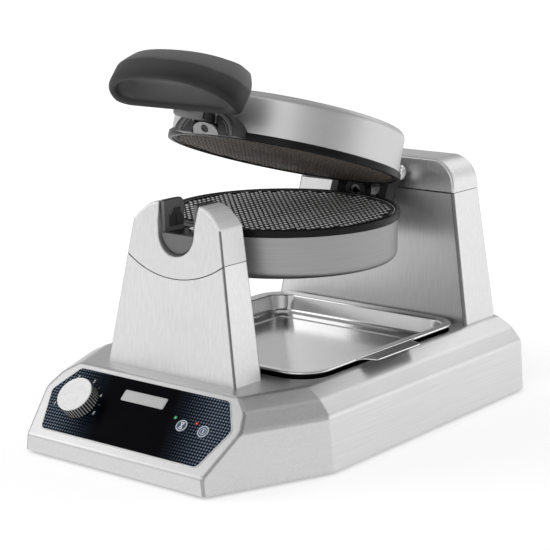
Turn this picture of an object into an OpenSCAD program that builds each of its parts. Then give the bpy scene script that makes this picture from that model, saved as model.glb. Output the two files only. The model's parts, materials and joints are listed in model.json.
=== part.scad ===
// Waffle cone maker: a wedge-fronted steel base carries two towers, and between them a pair of
// round baking plates that hinge open at the rear and turn on a front-to-back axis.
// Millimetres. +Z is up, +Y is the rear. The origin is on the table under the centre of the base.

/* [Base] */
// Length of the base, front to back
base_l = 413; // [400:1:426]
// Half of the base's width at its foot
base_hw = 144.1; // [138:0.1:150]
// Half of the front wall's width
front_hw = 98.6; // [92:0.1:104]
// Where the corner cuts end, behind the centre when positive
cut_y = -97.6; // [-104:0.1:-90]
// Gap under the shell, filled by the feet
foot_h = 3; // [2:0.5:5]
// Height of the front wall above the shell's foot
front_h = 13.6; // [12:0.1:16]
// Height of the flat top above the shell's foot
deck_h = 64.9; // [62:0.1:68]
// Length of the control slope, measured along Y
slope_run = 57.7; // [55:0.1:60]
// Inset of the side wall's top edge
wall_in = 5; // [4:0.5:7]
// Inset of the upper bend of the side
bend_in = 16.2; // [14:0.1:18]
// Inset of the flat top's edge
deck_in = 32.5; // [31:0.1:34]
// Sheet thickness of the base shell
sheet = 2; // [1.5:0.1:2.5]

/* [Front tower] */
// Half width where the front tower meets the base
ft_foot_hw = 70.9; // [66:0.1:76]
// Half width of the front tower at its shoulders
ft_top_hw = 47.5; // [45:0.1:50]
// Height of the prongs' tops
ft_top_z = 210.5; // [208:0.5:212]
// Radius of the round seam between cap and cover
seam_r = 92; // [85:0.1:96]
// Radius of the notch at its bottom
notch_r = 19.5; // [19:0.1:20.5]
// Half width of the notch at its mouth
notch_mouth = 22; // [21:0.1:23]

/* [Rear tower] */
// Half width where the rear tower meets the base
rt_foot_hw = 109.3; // [104:0.1:111]
// Half width of the rear tower at its seam
rt_seam_hw = 88.5; // [84:0.1:92]
// Height of the rear tower's seam
rt_seam_z = 188.4; // [186.5:0.1:190]
// Height of the rear tower's top
rt_top_z = 218; // [216:0.5:219]

/* [Plates] */
// Height of the axis that the plates turn on
axis_z = 186.5; // [185.5:0.1:187.5]
// Distance of the plates' centre behind the base's centre
plate_y = 21.5; // [20:0.1:23]
// Radius of the dark rim
rim_r = 104.07; // [102:0.01:105]
// Height of each dark rim
rim_h = 6.8; // [6:0.1:8]
// Radius of each steel cover
bowl_r = 101.6; // [100:0.1:101.8]
// Depth of each steel cover
bowl_h = 36.4; // [34:0.1:38]
// Rounding of each cover's closed edge
bowl_round = 9; // [6:0.5:12]
// Radius of the baking grid
grid_r = 99.6; // [97:0.1:99.6]
// Space left between the two grids when the lid is shut
wafer_gap = 2.4; // [1.6:0.1:3]

/* [Lid hinge] */
// Distance of the hinge pin behind the base's centre
hinge_y = 152; // [151:0.1:153]
// Height of the hinge pin
hinge_z = 203.9; // [203:0.1:205]
// Radius of the hinge pin
pin_r = 5.5; // [5:0.1:5.5]
// How far the lid stands open at rest, in degrees
lid_open = 18.5; // [10:0.5:30]

/* [Handle] */
// Half width of the loop handle
loop_hw = 68.7; // [64:0.1:70]
// Reach of the loop in front of its centre
loop_front = 38.1; // [34:0.1:40]
// Reach of the loop behind its centre
loop_rear = 9.5; // [8:0.1:9.6]
// Half height of the loop's band
loop_half = 18; // [15:0.5:18]
// Tilt of the loop's own axis from level
loop_tilt = 70; // [69:0.5:71]

/* [Drip tray] */
// Half width of the tray's rim
tray_hw = 109; // [106:0.5:110]
// Front edge of the tray's rim
tray_y0 = -85; // [-87:0.5:-80]
// Rear edge of the tray's rim
tray_y1 = 150; // [146:0.5:151]
// Height of the tray's rim
tray_z = 74; // [73:0.5:75]
// Depth of the tray
tray_depth = 22; // [18:0.5:23]

/* [Controls] */
// Place of the knob on the slope, across and up
knob_at = [-60, 40]; // [-64:0.1:64]
// Radius of the knob
knob_r = 16.6; // [14:0.1:17]
// Height of the knob
knob_h = 12.2; // [11:0.1:14]
// Place of the start key on the slope
start_at = [51.4, 40.5]; // [30:0.1:60]
// Place of the standby key on the slope
standby_at = [74.5, 39.8]; // [30:0.1:80]
// Radius of each key
key_r = 5.25; // [5:0.05:5.4]
// Radius of each indicator lamp
lamp_r = 1.7; // [1.5:0.1:2]

/* [Hidden] */

$fn = 96;
eps = 0.01;
deep = 60;
gap = 0.3;
steel = [0.78, 0.78, 0.77];
polished = [0.85, 0.85, 0.86];
dark = [0.2, 0.21, 0.22];
black = [0.06, 0.06, 0.07];

// Base levels
shell_z = foot_h;
wall_z = foot_h + 45;
bend_z = foot_h + 56.5;
deck_z = foot_h + deck_h;
front_z = foot_h + front_h;
half_l = base_l / 2;
slope_rise = deck_h - front_h;
slope_a = atan2(slope_rise, slope_run);
slope_l = norm([slope_run, slope_rise]);
cut_dir = [base_hw - front_hw, cut_y + half_l] / norm([base_hw - front_hw, cut_y + half_l]);
cut_off = cut_dir[1] * front_hw + cut_dir[0] * half_l;

// Tower planes, as Y at a height
ft_foot_y = -133.4;
ft_shoulder_y = -121.9;
ft_tip_y = -118.2;
ft_back_foot_y = -97.6;
ft_back_tip_y = -91.4;
ft_shoulder_z = 195.2;
ft_bend_z = 194;
// Outline of a prong above its bend, as [half width, height]
ft_prong = [[45.6, 197], [43.1, 199.4], [36.3, 205.3], [31.5, 208.4], [26, 210]];
rt_foot_y = 153.7;
rt_seam_y = 161.7;
rt_top_y = 165.5;
rt_corner_r = 26.5;
tower_wall = 2;
seam_gap = 0.5;
seam_low_z = 148.6;

// Turning parts
journal_r = 15.2;
cradle_r = 16;
journal_y0 = -116.6;
collar_y0 = -90.5;
collar_hw = 34;
collar_h = 22;
shaft_r = 9.5;
run_fit = 0.05;
bowl_t = 1.6;
rim_gap = 0.2;
rim_in = 100;
ear_in = 24;
ear_out = 32;
arm_in = 11.8;
arm_out = 22;
knuckle_r = 9;
key_travel = 0.9;
screw_r = 2;

// ---------- helpers ----------

// A rounded rectangle with exact round corners
module round_rect(x0, x1, y0, y1, r) {
    translate([x0 + r, y0]) square([x1 - x0 - 2 * r, y1 - y0]);
    translate([x0, y0 + r]) square([x1 - x0, y1 - y0 - 2 * r]);
    for (x = [x0 + r, x1 - r], y = [y0 + r, y1 - r]) translate([x, y]) circle(r);
}

// A box given by its corners
module span(low, high) {
    translate(low) cube(high - low);
}

// A cylinder along Y between two stations
module along_y(r, y0, y1, x = 0, z = axis_z) {
    translate([x, y1, z]) rotate([90, 0, 0]) cylinder(r = r, h = y1 - y0);
}

// A cylinder along X between two stations
module along_x(r, x0, x1, y = hinge_y, z = hinge_z) {
    translate([x0, y, z]) rotate([0, 90, 0]) cylinder(r = r, h = x1 - x0);
}

// Work in the control slope's own plane: X across, Y up the slope, Z out of it
module on_slope() {
    translate([0, -half_l, front_z]) rotate([slope_a, 0, 0]) children();
}

// The lid's resting place: turned up about the hinge
module opened() {
    translate([0, hinge_y, hinge_z]) rotate([-lid_open, 0, 0]) translate([0, -hinge_y, -hinge_z])
        children();
}

// The upper half mirrors the lower half across the axis plane
module mirrored() {
    translate([0, 0, 2 * axis_z]) mirror([0, 0, 1]) children();
}

// Plan of the base at one inset, with its front edge at front_y
function base_plan(inset, front_y, rear_y) =
    let (
        x_side = base_hw - inset,
        y_side = (cut_dir[1] * x_side - cut_off + inset) / cut_dir[0],
        x_front = (cut_off - inset + cut_dir[0] * front_y) / cut_dir[1]
    )
    [[x_front, front_y], [x_side, y_side], [x_side, rear_y],
     [-x_side, rear_y], [-x_side, y_side], [-x_front, front_y]];

// Solid outer form of the base, shrunk by t all round for the inner cavity
module base_form(t) {
    levels = [
        [shell_z, 0], [front_z, wall_in * front_h / (wall_z - shell_z)], [wall_z, wall_in],
        [bend_z, bend_in], [deck_z, deck_in]
    ];
    hull()
        for (level = levels) {
            front_y = -half_l + max(0, (level[0] - front_z) * slope_run / slope_rise);
            z = level[0] == shell_z ? (t > 0 ? shell_z - 1 : shell_z) : level[0] - t;
            translate([0, 0, z - (z > front_z ? eps : 0)])
                linear_extrude(eps) polygon(base_plan(level[1] + t, front_y + t * 1.2, half_l - t));
        }
}

// A tapered tower block from three level rectangles [z, half width, front y, rear y]
module tower_form(levels) {
    hull()
        for (level = levels)
            span([-level[1], level[2], level[0] - eps], [level[1], level[3], level[0]]);
}

// Half width of the front tower's straight sides at a height
function ft_hw(z) =
    ft_top_hw + (ft_shoulder_z - z) * (ft_foot_hw - ft_top_hw) / (ft_shoulder_z - deck_z);

// Front tower outside, grown inwards by t
module front_tower_form(t) {
    intersection() {
        tower_form([
            [deck_z - (t > 0 ? 1 : 0) + eps, ft_foot_hw - t, ft_foot_y + t, ft_back_foot_y - t],
            [ft_shoulder_z, ft_top_hw - t, ft_shoulder_y + t, ft_back_tip_y - 0.6 - t],
            [ft_top_z - t, ft_hw(ft_top_z) - t, ft_tip_y + t, ft_back_tip_y - t]
        ]);
        translate([0, -80, 0]) rotate([90, 0, 0]) linear_extrude(deep) union() {
            translate([-80, 0]) square([160, ft_bend_z - t]);
            for (s = [-1, 1]) polygon([
                [0, ft_bend_z - t - 1],
                [s * (ft_hw(ft_bend_z) - t), ft_bend_z - t - 1],
                [s * (ft_hw(ft_bend_z) - t), ft_bend_z - t],
                for (p = ft_prong) [s * (p[0] - t), p[1] - t],
                [s * (20.5 - t), ft_top_z - t],
                [0, ft_top_z - t]
            ]);
        }
    }
}

// Everything above the front tower's round seam
module above_seam(grow) {
    along_y(seam_r + grow, -150, -80, 0, seam_low_z + seam_r);
}

// Outline of the notch, wider at its mouth
module notch_cut(grow) {
    translate([0, -80, 0]) rotate([90, 0, 0]) linear_extrude(deep) union() {
        translate([0, axis_z]) circle(notch_r + grow);
        polygon([
            [-notch_r - grow, axis_z], [notch_r + grow, axis_z],
            [notch_mouth + grow, ft_top_z + 5], [-notch_mouth - grow, ft_top_z + 5]
        ]);
    }
}

// Half width of the rear tower's straight sides at a height
function rt_hw(z) =
    rt_seam_hw + (rt_seam_z - z) * (rt_foot_hw - rt_seam_hw) / (rt_seam_z - deck_z);

// Rear tower outside, grown inwards by t
module rear_tower_form(t) {
    intersection() {
        tower_form([
            [deck_z - (t > 0 ? 1 : 0) + eps, rt_foot_hw - t, rt_foot_y + t, half_l - t],
            [rt_seam_z, rt_seam_hw - t, rt_seam_y + t, half_l - t],
            [rt_top_z - t, rt_hw(rt_top_z) - t, rt_top_y + t, half_l - t]
        ]);
        translate([0, half_l, 0]) rotate([90, 0, 0]) linear_extrude(deep) union() {
            translate([-120, 0]) square([240, rt_top_z - rt_corner_r - 2]);
            for (s = [-1, 1]) polygon([
                [0, rt_top_z - rt_corner_r - 3],
                for (a = [90:-10:0]) [
                    s * (rt_seam_hw - rt_corner_r + (rt_corner_r - t) * sin(a)),
                    rt_top_z - rt_corner_r - 2 + (rt_corner_r + 2 - t) * cos(a)
                ],
                [0, rt_top_z - t]
            ]);
        }
    }
}

// A countersunk or flat-headed screw, pointing down from its head's top
module screw(head_r, head_h, shank_r, length) {
    translate([0, 0, -head_h]) cylinder(r = head_r, h = head_h, $fn = 24);
    translate([0, 0, -length]) cylinder(r = shank_r, h = length, $fn = 24);
}

// Outline of the handle loop, drawn in by given amounts at its sides, front and rear
function loop_outline(side, front, rear) = [
    for (a = [0:10:350]) [
        (loop_hw - side) * sign(cos(a)) * pow(abs(cos(a)), loop_power),
        (sin(a) < 0 ? loop_front - front : loop_rear - rear) * sign(sin(a))
            * pow(abs(sin(a)), loop_power)
    ]
];

// A solid through loop outlines, each given as [height, side, front, rear]
module loop_form(levels) {
    translate(loop_c) rotate([loop_tilt - 90, 0, 0]) hull() for (level = levels)
        translate([0, 0, level[0]]) linear_extrude(eps)
            polygon(loop_outline(level[1], level[2], level[3]));
}

// ---------- base ----------

well_x = tray_hw - 2;
well_y0 = tray_y0 + 2;
well_y1 = tray_y1 - 2;
well_corner = 28;
well_floor = tray_z - tray_depth;
foot_at = [for (x = [-108, 108], y = [-78, 184]) [x, y]];
plate_screw_at = [for (x = [-122, 122], y = [-60, 60, 170]) [x, y]];
front_screw_at = [for (x = [-20, 20]) [x, -108]];
rear_screw_at = [for (x = [-88, 88]) [x, 182]];
bush_at = [-96, 26];

// Clearance holes for screws that come up through the flat top
module screw_holes(places) {
    for (p = places) translate([p[0], p[1], deck_z - 4]) cylinder(r = screw_r + 0.1, h = 8);
}

module base_shell() {
    color(steel) difference() {
        base_form(0);
        base_form(sheet);
        translate([0, 0, deck_z - 5]) linear_extrude(10)
            round_rect(-well_x, well_x, well_y0, well_y1, well_corner);
        on_slope() {
            translate([knob_at[0], knob_at[1], -5]) cylinder(r = 5.2, h = 10);
            span([34, 31, -6], [84, 52, 3]);
        }
        screw_holes(concat(front_screw_at, rear_screw_at));
        along_y(9.1, half_l - 10, half_l + 5, bush_at[0], bush_at[1]);
    }
}

module tray_well() {
    color(black) difference() {
        translate([0, 0, well_floor - 1.2]) linear_extrude(deck_z - sheet - well_floor + 1.1)
            round_rect(-well_x - 1.2, well_x + 1.2, well_y0 - 1.2, well_y1 + 1.2, well_corner + 1.2);
        translate([0, 0, well_floor]) linear_extrude(deep)
            round_rect(-well_x, well_x, well_y0, well_y1, well_corner);
    }
}

module bottom_plate() {
    color(dark) difference() {
        translate([0, 0, shell_z]) linear_extrude(1.5)
            polygon(base_plan(sheet + 1, -half_l + sheet + 1, half_l - sheet - 1));
        for (p = plate_screw_at)
            translate([p[0], p[1], 0]) cylinder(r = screw_r + 0.1, h = 10);
        for (x = [-20:10:20], y = [-30, 30])
            translate([x, y, 0]) cylinder(r = 2.5, h = 10);
    }
}

module rubber_feet() {
    color(black) for (p = foot_at)
        translate([p[0], p[1], 0]) {
            cylinder(r = 12, h = foot_h - 1);
            translate([0, 0, foot_h - 1]) cylinder(r = 10, h = 1);
        }
}

module bottom_screws() {
    color(polished) for (p = plate_screw_at)
        translate([p[0], p[1], shell_z - 1.5]) {
            cylinder(r = 3.6, h = 1.5);
            cylinder(r = screw_r, h = 10);
        }
}

module cable_bush() {
    color(black) difference() {
        along_y(9, half_l - 9, half_l, bush_at[0], bush_at[1]);
        along_y(4.5, half_l - 10, half_l + 1, bush_at[0], bush_at[1]);
    }
}

// ---------- controls ----------

panel_t = 1.2;
panel_seat = 0.02;
panel_corner = 5;
// Place of each lamp beside its key
lamp_left = 10.6;
lamp_up = 6;
// Centres of the panel's right-hand corners, low to high
panel_half = [[85.5, 14], [94, 46], [79, 66.5]];

module control_panel() {
    color(black) on_slope() difference() {
        hull() for (p = panel_half, s = [-1, 1])
            translate([s * p[0], p[1], panel_seat])
                cylinder(r = panel_corner, h = panel_t - panel_seat, $fn = 32);
        translate([knob_at[0], knob_at[1], -1]) cylinder(r = 5.2, h = 5);
        for (p = [start_at, standby_at]) translate([p[0], p[1], -1]) cylinder(r = key_r + gap, h = 5);
        for (p = [start_at, standby_at])
            translate([p[0] - lamp_left, p[1] + lamp_up, -1]) cylinder(r = lamp_r + 0.05, h = 5);
    }
}

module thermostat_knob() {
    color(black) on_slope() translate([knob_at[0], knob_at[1], panel_t + 0.6]) difference() {
        union() {
            cylinder(r = knob_r, h = knob_h - 2);
            translate([0, 0, knob_h - 2]) cylinder(r = knob_r - 0.8, h = 0.6);
        }
        translate([0, 0, -1]) cylinder(r = 3, h = 9);
        translate([0, 0, -1]) cylinder(r = 12, h = 3);
    }
}

module knob_cap() {
    color("white") on_slope()
        translate([knob_at[0], knob_at[1], panel_t + knob_h - 0.8]) cylinder(r = knob_r - 0.4, h = 1.4);
}

module thermostat_shaft() {
    color(polished) on_slope() translate([knob_at[0], knob_at[1], 0]) {
        translate([0, 0, -8]) cylinder(r = 3, h = 16);
    }
}

module thermostat_body() {
    color(steel) on_slope() translate([knob_at[0], knob_at[1], 0]) difference() {
        union() {
            translate([0, 0, -24]) cylinder(r = 13, h = 20);
            translate([0, 0, -4.5]) cylinder(r = 5, h = 4.9);
        }
        translate([0, 0, -9]) cylinder(r = 3 + run_fit, h = 20);
    }
}

// A push key with its stem and a wider inner flange
module push_key(at) {
    on_slope() translate([at[0], at[1], 0]) {
        translate([0, 0, -1.2]) cylinder(r = key_r, h = panel_t + 2);
        translate([0, 0, -6.4]) cylinder(r = 2.4, h = 5.4);
    }
}

module start_button() {
    color(polished) push_key(start_at);
}

module standby_button() {
    color(polished) push_key(standby_at);
}

// A lamp lens beside a key
module lamp(at) {
    on_slope() translate([at[0] - lamp_left, at[1] + lamp_up, -8])
        cylinder(r = lamp_r, h = 8.2 + panel_t);
}

module start_lamp() {
    color("green") lamp(start_at);
}

module standby_lamp() {
    color("red") lamp(standby_at);
}

board_z = -11.4;

module control_board() {
    color("darkgreen") on_slope() span([28, 22, board_z], [88, 62, board_z + 1.6]);
}

module key_switches() {
    color(black) on_slope() for (p = [start_at, standby_at])
        translate([p[0] - 3, p[1] - 3, board_z + 1.6]) cube([6, 6, 2]);
}

module buzzer() {
    color(black) on_slope() translate([62, 28.5, board_z + 1.6]) cylinder(r = 4.5, h = 3);
}

module relay() {
    color("navy") span([-20, -150, shell_z + 1.5], [0, -128, shell_z + 17]);
}

module terminal_block() {
    color("ivory") difference() {
        span([-84, 160, shell_z + 1.5], [-44, 176, shell_z + 19]);
        for (x = [-78:9:-50]) translate([x, 168, 12]) cylinder(r = 2.5, h = 12);
    }
}

// ---------- front tower ----------

// The straight-sided lower part of the front tower, shrunk by t
module front_tower_foot(t) {
    tower_form([
        [deck_z - (t > 0 ? 1 : 0) + eps, ft_foot_hw - t, ft_foot_y + t, ft_back_foot_y - t],
        [ft_shoulder_z, ft_top_hw - t, ft_shoulder_y + t, ft_back_tip_y - 0.6 - t]
    ]);
}

module front_tower_cover() {
    color(steel) difference() {
        front_tower_foot(0);
        front_tower_foot(tower_wall);
        above_seam(seam_gap);
    }
}

module front_tower_cap() {
    color(steel) difference() {
        intersection() {
            front_tower_form(0);
            above_seam(0);
        }
        front_tower_form(tower_wall);
        notch_cut(0);
    }
}

cradle_y0 = -117.2;
cradle_y1 = -92.6;

module journal_cradle() {
    color(dark) difference() {
        intersection() {
            notch_cut(-0.1);
            span([-40, cradle_y0, axis_z - 25], [40, cradle_y1, ft_top_z - 4]);
        }
        along_y(cradle_r, cradle_y0 - 1, cradle_y1 + 1);
        translate([0, -80, 0]) rotate([90, 0, 0]) linear_extrude(deep) polygon([
            [-cradle_r, axis_z], [cradle_r, axis_z],
            [notch_mouth - 3, ft_top_z + 5], [3 - notch_mouth, ft_top_z + 5]
        ]);
        span([-30, -106, axis_z + 1], [-15, -97, axis_z + 11]);
    }
}

module latch_keeper() {
    color(black) span([-19.2, -105.8, axis_z + 1.2], [-17.6, -97.2, axis_z + 10.8]);
}

module front_bracket() {
    color(steel) difference() {
        union() {
            span([-28, -114, deck_z], [28, -102, deck_z + 2]);
            span([-12, -111, deck_z + 2], [12, -105, axis_z - notch_r - 0.1]);
        }
        screw_holes(front_screw_at);
    }
}

// ---------- rear tower ----------

shaft_hole_r = 12;

module rear_tower_cover() {
    color(steel) difference() {
        rear_tower_form(0);
        rear_tower_form(tower_wall);
        span([-130, 100, rt_seam_z - seam_gap], [130, 260, rt_top_z + 5]);
        along_y(shaft_hole_r, 150, 175);
    }
}

module rear_tower_cap() {
    color(steel) difference() {
        rear_tower_form(0);
        rear_tower_form(tower_wall);
        span([-130, 100, 0], [130, 260, rt_seam_z]);
        along_y(shaft_hole_r, 150, 175);
    }
}

module rear_bracket() {
    color(steel) difference() {
        union() {
            span([-96, 174, deck_z], [96, 190, deck_z + 2]);
            for (x = [-30, 22]) span([x, 174, deck_z + 2], [x + 8, 190, axis_z - 22]);
            span([-30, 174, axis_z - 22], [30, 190, axis_z - 20]);
        }
        screw_holes(rear_screw_at);
    }
}

module bearing_housing() {
    color(dark) difference() {
        span([-22, 172, axis_z - 20], [22, 190, axis_z + 18]);
        along_y(12.5, 171, 191);
    }
}

module bearing_bush() {
    color("peru") difference() {
        along_y(12.5, 172, 190);
        along_y(shaft_r + run_fit, 171, 191);
    }
}

module rotor_shaft() {
    color(polished) difference() {
        union() {
            along_y(shaft_r, 142, 198);
            along_y(6, 132, 142);
        }
        along_y(3.5, 131, 199);
    }
}

module shaft_ring() {
    color(polished) difference() {
        along_y(13, 191, 195);
        along_y(shaft_r, 190, 196);
    }
}

module tower_screws() {
    color(polished) for (p = concat(front_screw_at, rear_screw_at))
        translate([p[0], p[1], deck_z - sheet]) mirror([0, 0, 1]) {
            cylinder(r = 3.6, h = 2);
            translate([0, 0, -8]) cylinder(r = screw_r, h = 8);
        }
}

// ---------- hinge ----------

// A hinge ear: a plate round the pin, reaching down and forwards
module ear(x0, x1, low_z) {
    along_x(knuckle_r, x0, x1);
    translate([x0, 0, 0]) rotate([90, 0, 90]) linear_extrude(x1 - x0)
        polygon([[128, low_z], [146, low_z], [hinge_y + knuckle_r, hinge_z],
                 [hinge_y - knuckle_r, hinge_z]]);
}

module lower_hinge_bracket() {
    color(dark) difference() {
        union() {
            for (s = [-1, 1]) ear(s > 0 ? ear_in : -ear_out, s > 0 ? ear_out : -ear_in, 168);
            span([-ear_out, 121, 168], [ear_out, 142, 182.5]);
            along_y(11, 131, 142);
        }
        translate([0, plate_y, 100]) cylinder(r = bowl_r + 0.1, h = axis_z - rim_h - 100);
        translate([0, plate_y, axis_z - rim_gap - rim_h - 0.1]) cylinder(r = rim_r + 0.1, h = 60);
        along_x(pin_r, -40, 40);
        along_y(6, 131, 143);
    }
}

module upper_hinge_bracket() {
    color(dark) opened() difference() {
        union() {
            for (s = [-1, 1]) {
                x0 = s > 0 ? arm_in : -arm_out;
                along_x(knuckle_r, x0, x0 + arm_out - arm_in);
                span([x0, 126, 190], [x0 + arm_out - arm_in, hinge_y, 211]);
            }
            span([-arm_out, 120, 190], [arm_out, 130, 211]);
        }
        translate([0, plate_y, 180]) cylinder(r = rim_r + 0.1, h = axis_z + rim_h + 0.2 - 180);
        translate([0, plate_y, 180]) cylinder(r = bowl_r + 0.1, h = 60);
        along_x(pin_r + run_fit, -40, 40);
    }
}

module hinge_pin() {
    color(polished) {
        along_x(pin_r, -33, 33);
        for (s = [-1, 1]) {
            along_x(7, s > 0 ? 33 : -36, s > 0 ? 36 : -33);
            along_x(5.6, s > 0 ? 36 : -37, s > 0 ? 37 : -36);
        }
    }
}

module hinge_screws() {
    color(polished) for (x = [-27, 27])
        translate([x, 137, 168]) mirror([0, 0, 1]) cylinder(r = 3.5, h = 2);
}

// ---------- baking plates ----------

// Steel cover of the lower plate: a shallow round pan with a rounded foot edge
module bowl() {
    low = axis_z - rim_gap - rim_h - bowl_h;
    function wall(r, z, round) = concat(
        [[0, z]],
        [for (a = [-90:10:0]) [r - round + round * cos(a), z + round + round * sin(a)]]
    );
    translate([0, plate_y, 0]) rotate_extrude() difference() {
        polygon(concat(wall(bowl_r, low, bowl_round),
            [[bowl_r, axis_z - rim_gap - rim_h], [0, axis_z - rim_gap - rim_h]]));
        polygon(concat(wall(bowl_r - bowl_t, low + bowl_t, bowl_round - bowl_t),
            [[bowl_r - bowl_t, axis_z], [0, axis_z]]));
    }
}

module rim() {
    translate([0, plate_y, axis_z - rim_gap - rim_h]) difference() {
        cylinder(r = rim_r, h = rim_h);
        translate([0, 0, -1]) cylinder(r = rim_in, h = rim_h + 2);
    }
}

// A cast grid: solid here, with its fine cells cut by the pressing surface
module grid() {
    top = axis_z - wafer_gap / 2;
    translate([0, plate_y, top - 9]) difference() {
        union() {
            cylinder(r = grid_r, h = 9);
            translate([0, 0, -4]) cylinder(r = 88, h = 4);
        }
        translate([0, 0, -5]) rotate_extrude() translate([66, 0]) square([7, 4.5]);
    }
}

// A tubular heater lying in the groove under its grid
module heater() {
    translate([0, plate_y, axis_z - wafer_gap / 2 - 12.9]) rotate_extrude()
        translate([69.5, 0]) circle(3.3, $fn = 48);
}

// Half bell round the neck, standing against the rim's front
module collar() {
    difference() {
        translate([0, -72, 0]) rotate([90, 0, 0]) linear_extrude(-72 - collar_y0) polygon([
            for (a = [0:7.5:180])
                [collar_hw * cos(a), axis_z - rim_gap - 0.5 - (collar_h - 0.7) * sin(a)]
        ]);
        translate([0, plate_y, 100]) cylinder(r = bowl_r + 0.1, h = 100);
        translate([0, plate_y, axis_z - rim_gap - rim_h - 0.1]) cylinder(r = rim_r + 0.1, h = 20);
    }
}

module lower_bowl() {
    color(steel) bowl();
}

module lower_rim() {
    color(dark) rim();
}

module lower_grid() {
    color(black) grid();
}

module lower_heater() {
    color("brown") heater();
}

module lower_collar() {
    color(dark) collar();
}

journal_top = axis_z - 1.6;
neck_y = -97.5;

module lower_journal() {
    color(dark) difference() {
        intersection() {
            along_y(journal_r, journal_y0, collar_y0);
            span([-20, -120, axis_z - 20], [20, -80, journal_top]);
        }
        translate([0, neck_y, journal_top - 3]) cylinder(r = 5.2, h = 5);
        translate([0, neck_y, journal_top - 9]) cylinder(r = screw_r, h = 9);
        translate([0, -111, journal_top - 12]) cylinder(r = 2.1, h = 20);
    }
}

module lower_neck_screw() {
    color(polished) translate([0, neck_y, journal_top - 0.4]) screw(5.2, 2.6, screw_r, 8);
}

module upper_bowl() {
    color(steel) opened() mirrored() bowl();
}

module upper_rim() {
    color(dark) opened() mirrored() rim();
}

module upper_grid() {
    color(black) opened() mirrored() grid();
}

module upper_heater() {
    color("brown") opened() mirrored() heater();
}

module upper_collar() {
    color(dark) opened() difference() {
        mirrored() collar();
        translate([0, collar_y0 + 4.4, axis_z]) rotate([90, 0, 0]) linear_extrude(10) polygon([
            for (a = [0:7.5:180]) [23.5 * cos(a), 0.4 + 16.5 * sin(a)]
        ]);
    }
}

// ---------- handle ----------

plate_low_y = -87;
plate_lean = 38;

// Work in the leaning plane of the neck's face: Z is out of the face, towards the user
module on_neck() {
    translate([0, plate_low_y, axis_z + 1.2]) rotate([90 + plate_lean, 0, 0]) children();
}

module neck_plate() {
    color(polished) opened() on_neck() difference() {
        intersection() {
            cylinder(r = 13, h = 1.8);
            translate([-13, 0, 0]) cube([26, 10.5, 2]);
        }
        translate([0, 5.4, -1]) cylinder(r = 3, h = 5);
    }
}

module neck_screw() {
    color(black) opened() on_neck() translate([0, 5.4, 0]) cylinder(r = 3, h = 1.4);
}

boss_y = -115.5;
boss_r = 12.5;
boss_z = 195.5;
loop_c = [0, -127.4, 218];
loop_power = 0.897;
loop_ridge = 1.9;
loop_outside = [
    [-loop_half, 4, 4.1, 2], [-loop_half + 3, 1.2, 1.1, 0.3], [-loop_half + 5.5, 0, 0, 0],
    [loop_ridge, 0, 0, 0], [loop_half, 6.4, 10.3, 2.5]
];
loop_inside = [
    [-loop_half - 0.1, 5.5, 8.8, 5.7], [loop_ridge, 5.5, 8.8, 5.7],
    [loop_half + 0.1, 10.7, 15.8, 7]
];

module handle_arm() {
    color(dark) opened() difference() {
        span([-8, -104, boss_z + 1], [8, collar_y0 + 4.3, boss_z + 6.5]);
        translate([0, boss_y, 190]) cylinder(r = boss_r, h = 30);
    }
}

// Loop handle moulded in one with the boss that carries it
module handle_loop() {
    color(dark) opened() difference() {
        union() {
            loop_form(loop_outside);
            translate([0, boss_y, boss_z]) cylinder(r = boss_r, h = 9);
            span([-9, -123, boss_z + 6], [9, -111, 214]);
        }
        loop_form(loop_inside);
    }
}

// ---------- drip tray ----------

module drip_tray() {
    lip = 1.5;
    color(polished) union() {
        translate([0, 0, tray_z - lip]) linear_extrude(lip) difference() {
            union() {
                round_rect(-tray_hw, tray_hw, tray_y0, tray_y1, 30);
                round_rect(tray_hw - 20, tray_hw + 15, -12, 62, 6);
            }
            round_rect(-tray_hw + 11, tray_hw - 11, tray_y0 + 11, tray_y1 - 11, 22);
        }
        translate([0, 0, tray_z - tray_depth]) linear_extrude(tray_depth) difference() {
            round_rect(-tray_hw + 9.5, tray_hw - 9.5, tray_y0 + 9.5, tray_y1 - 9.5, 23.5);
            round_rect(-tray_hw + 11, tray_hw - 11, tray_y0 + 11, tray_y1 - 11, 22);
        }
        translate([0, 0, tray_z - tray_depth]) linear_extrude(lip)
            round_rect(-tray_hw + 9.5, tray_hw - 9.5, tray_y0 + 9.5, tray_y1 - 9.5, 23.5);
    }
}

base_shell();
tray_well();
bottom_plate();
rubber_feet();
bottom_screws();
control_panel();
thermostat_knob();
knob_cap();
thermostat_shaft();
thermostat_body();
start_button();
standby_button();
start_lamp();
standby_lamp();
control_board();
key_switches();
buzzer();
relay();
terminal_block();
cable_bush();
front_tower_cover();
front_tower_cap();
journal_cradle();
latch_keeper();
front_bracket();
rear_tower_cover();
rear_tower_cap();
rear_bracket();
bearing_housing();
bearing_bush();
rotor_shaft();
shaft_ring();
tower_screws();
lower_hinge_bracket();
upper_hinge_bracket();
hinge_pin();
hinge_screws();
lower_bowl();
lower_rim();
lower_grid();
lower_heater();
lower_collar();
lower_journal();
lower_neck_screw();
upper_bowl();
upper_rim();
upper_grid();
upper_heater();
upper_collar();
neck_plate();
neck_screw();
handle_arm();
handle_loop();
drip_tray();
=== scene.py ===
"""Waffle cone maker: the looks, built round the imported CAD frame. Metres, in the frame of the CAD row."""
import json
from math import asin, atan2, copysign, cos, hypot, pi, radians, sin, tan

import bmesh
import bpy
from mathutils import Matrix, Vector


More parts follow.
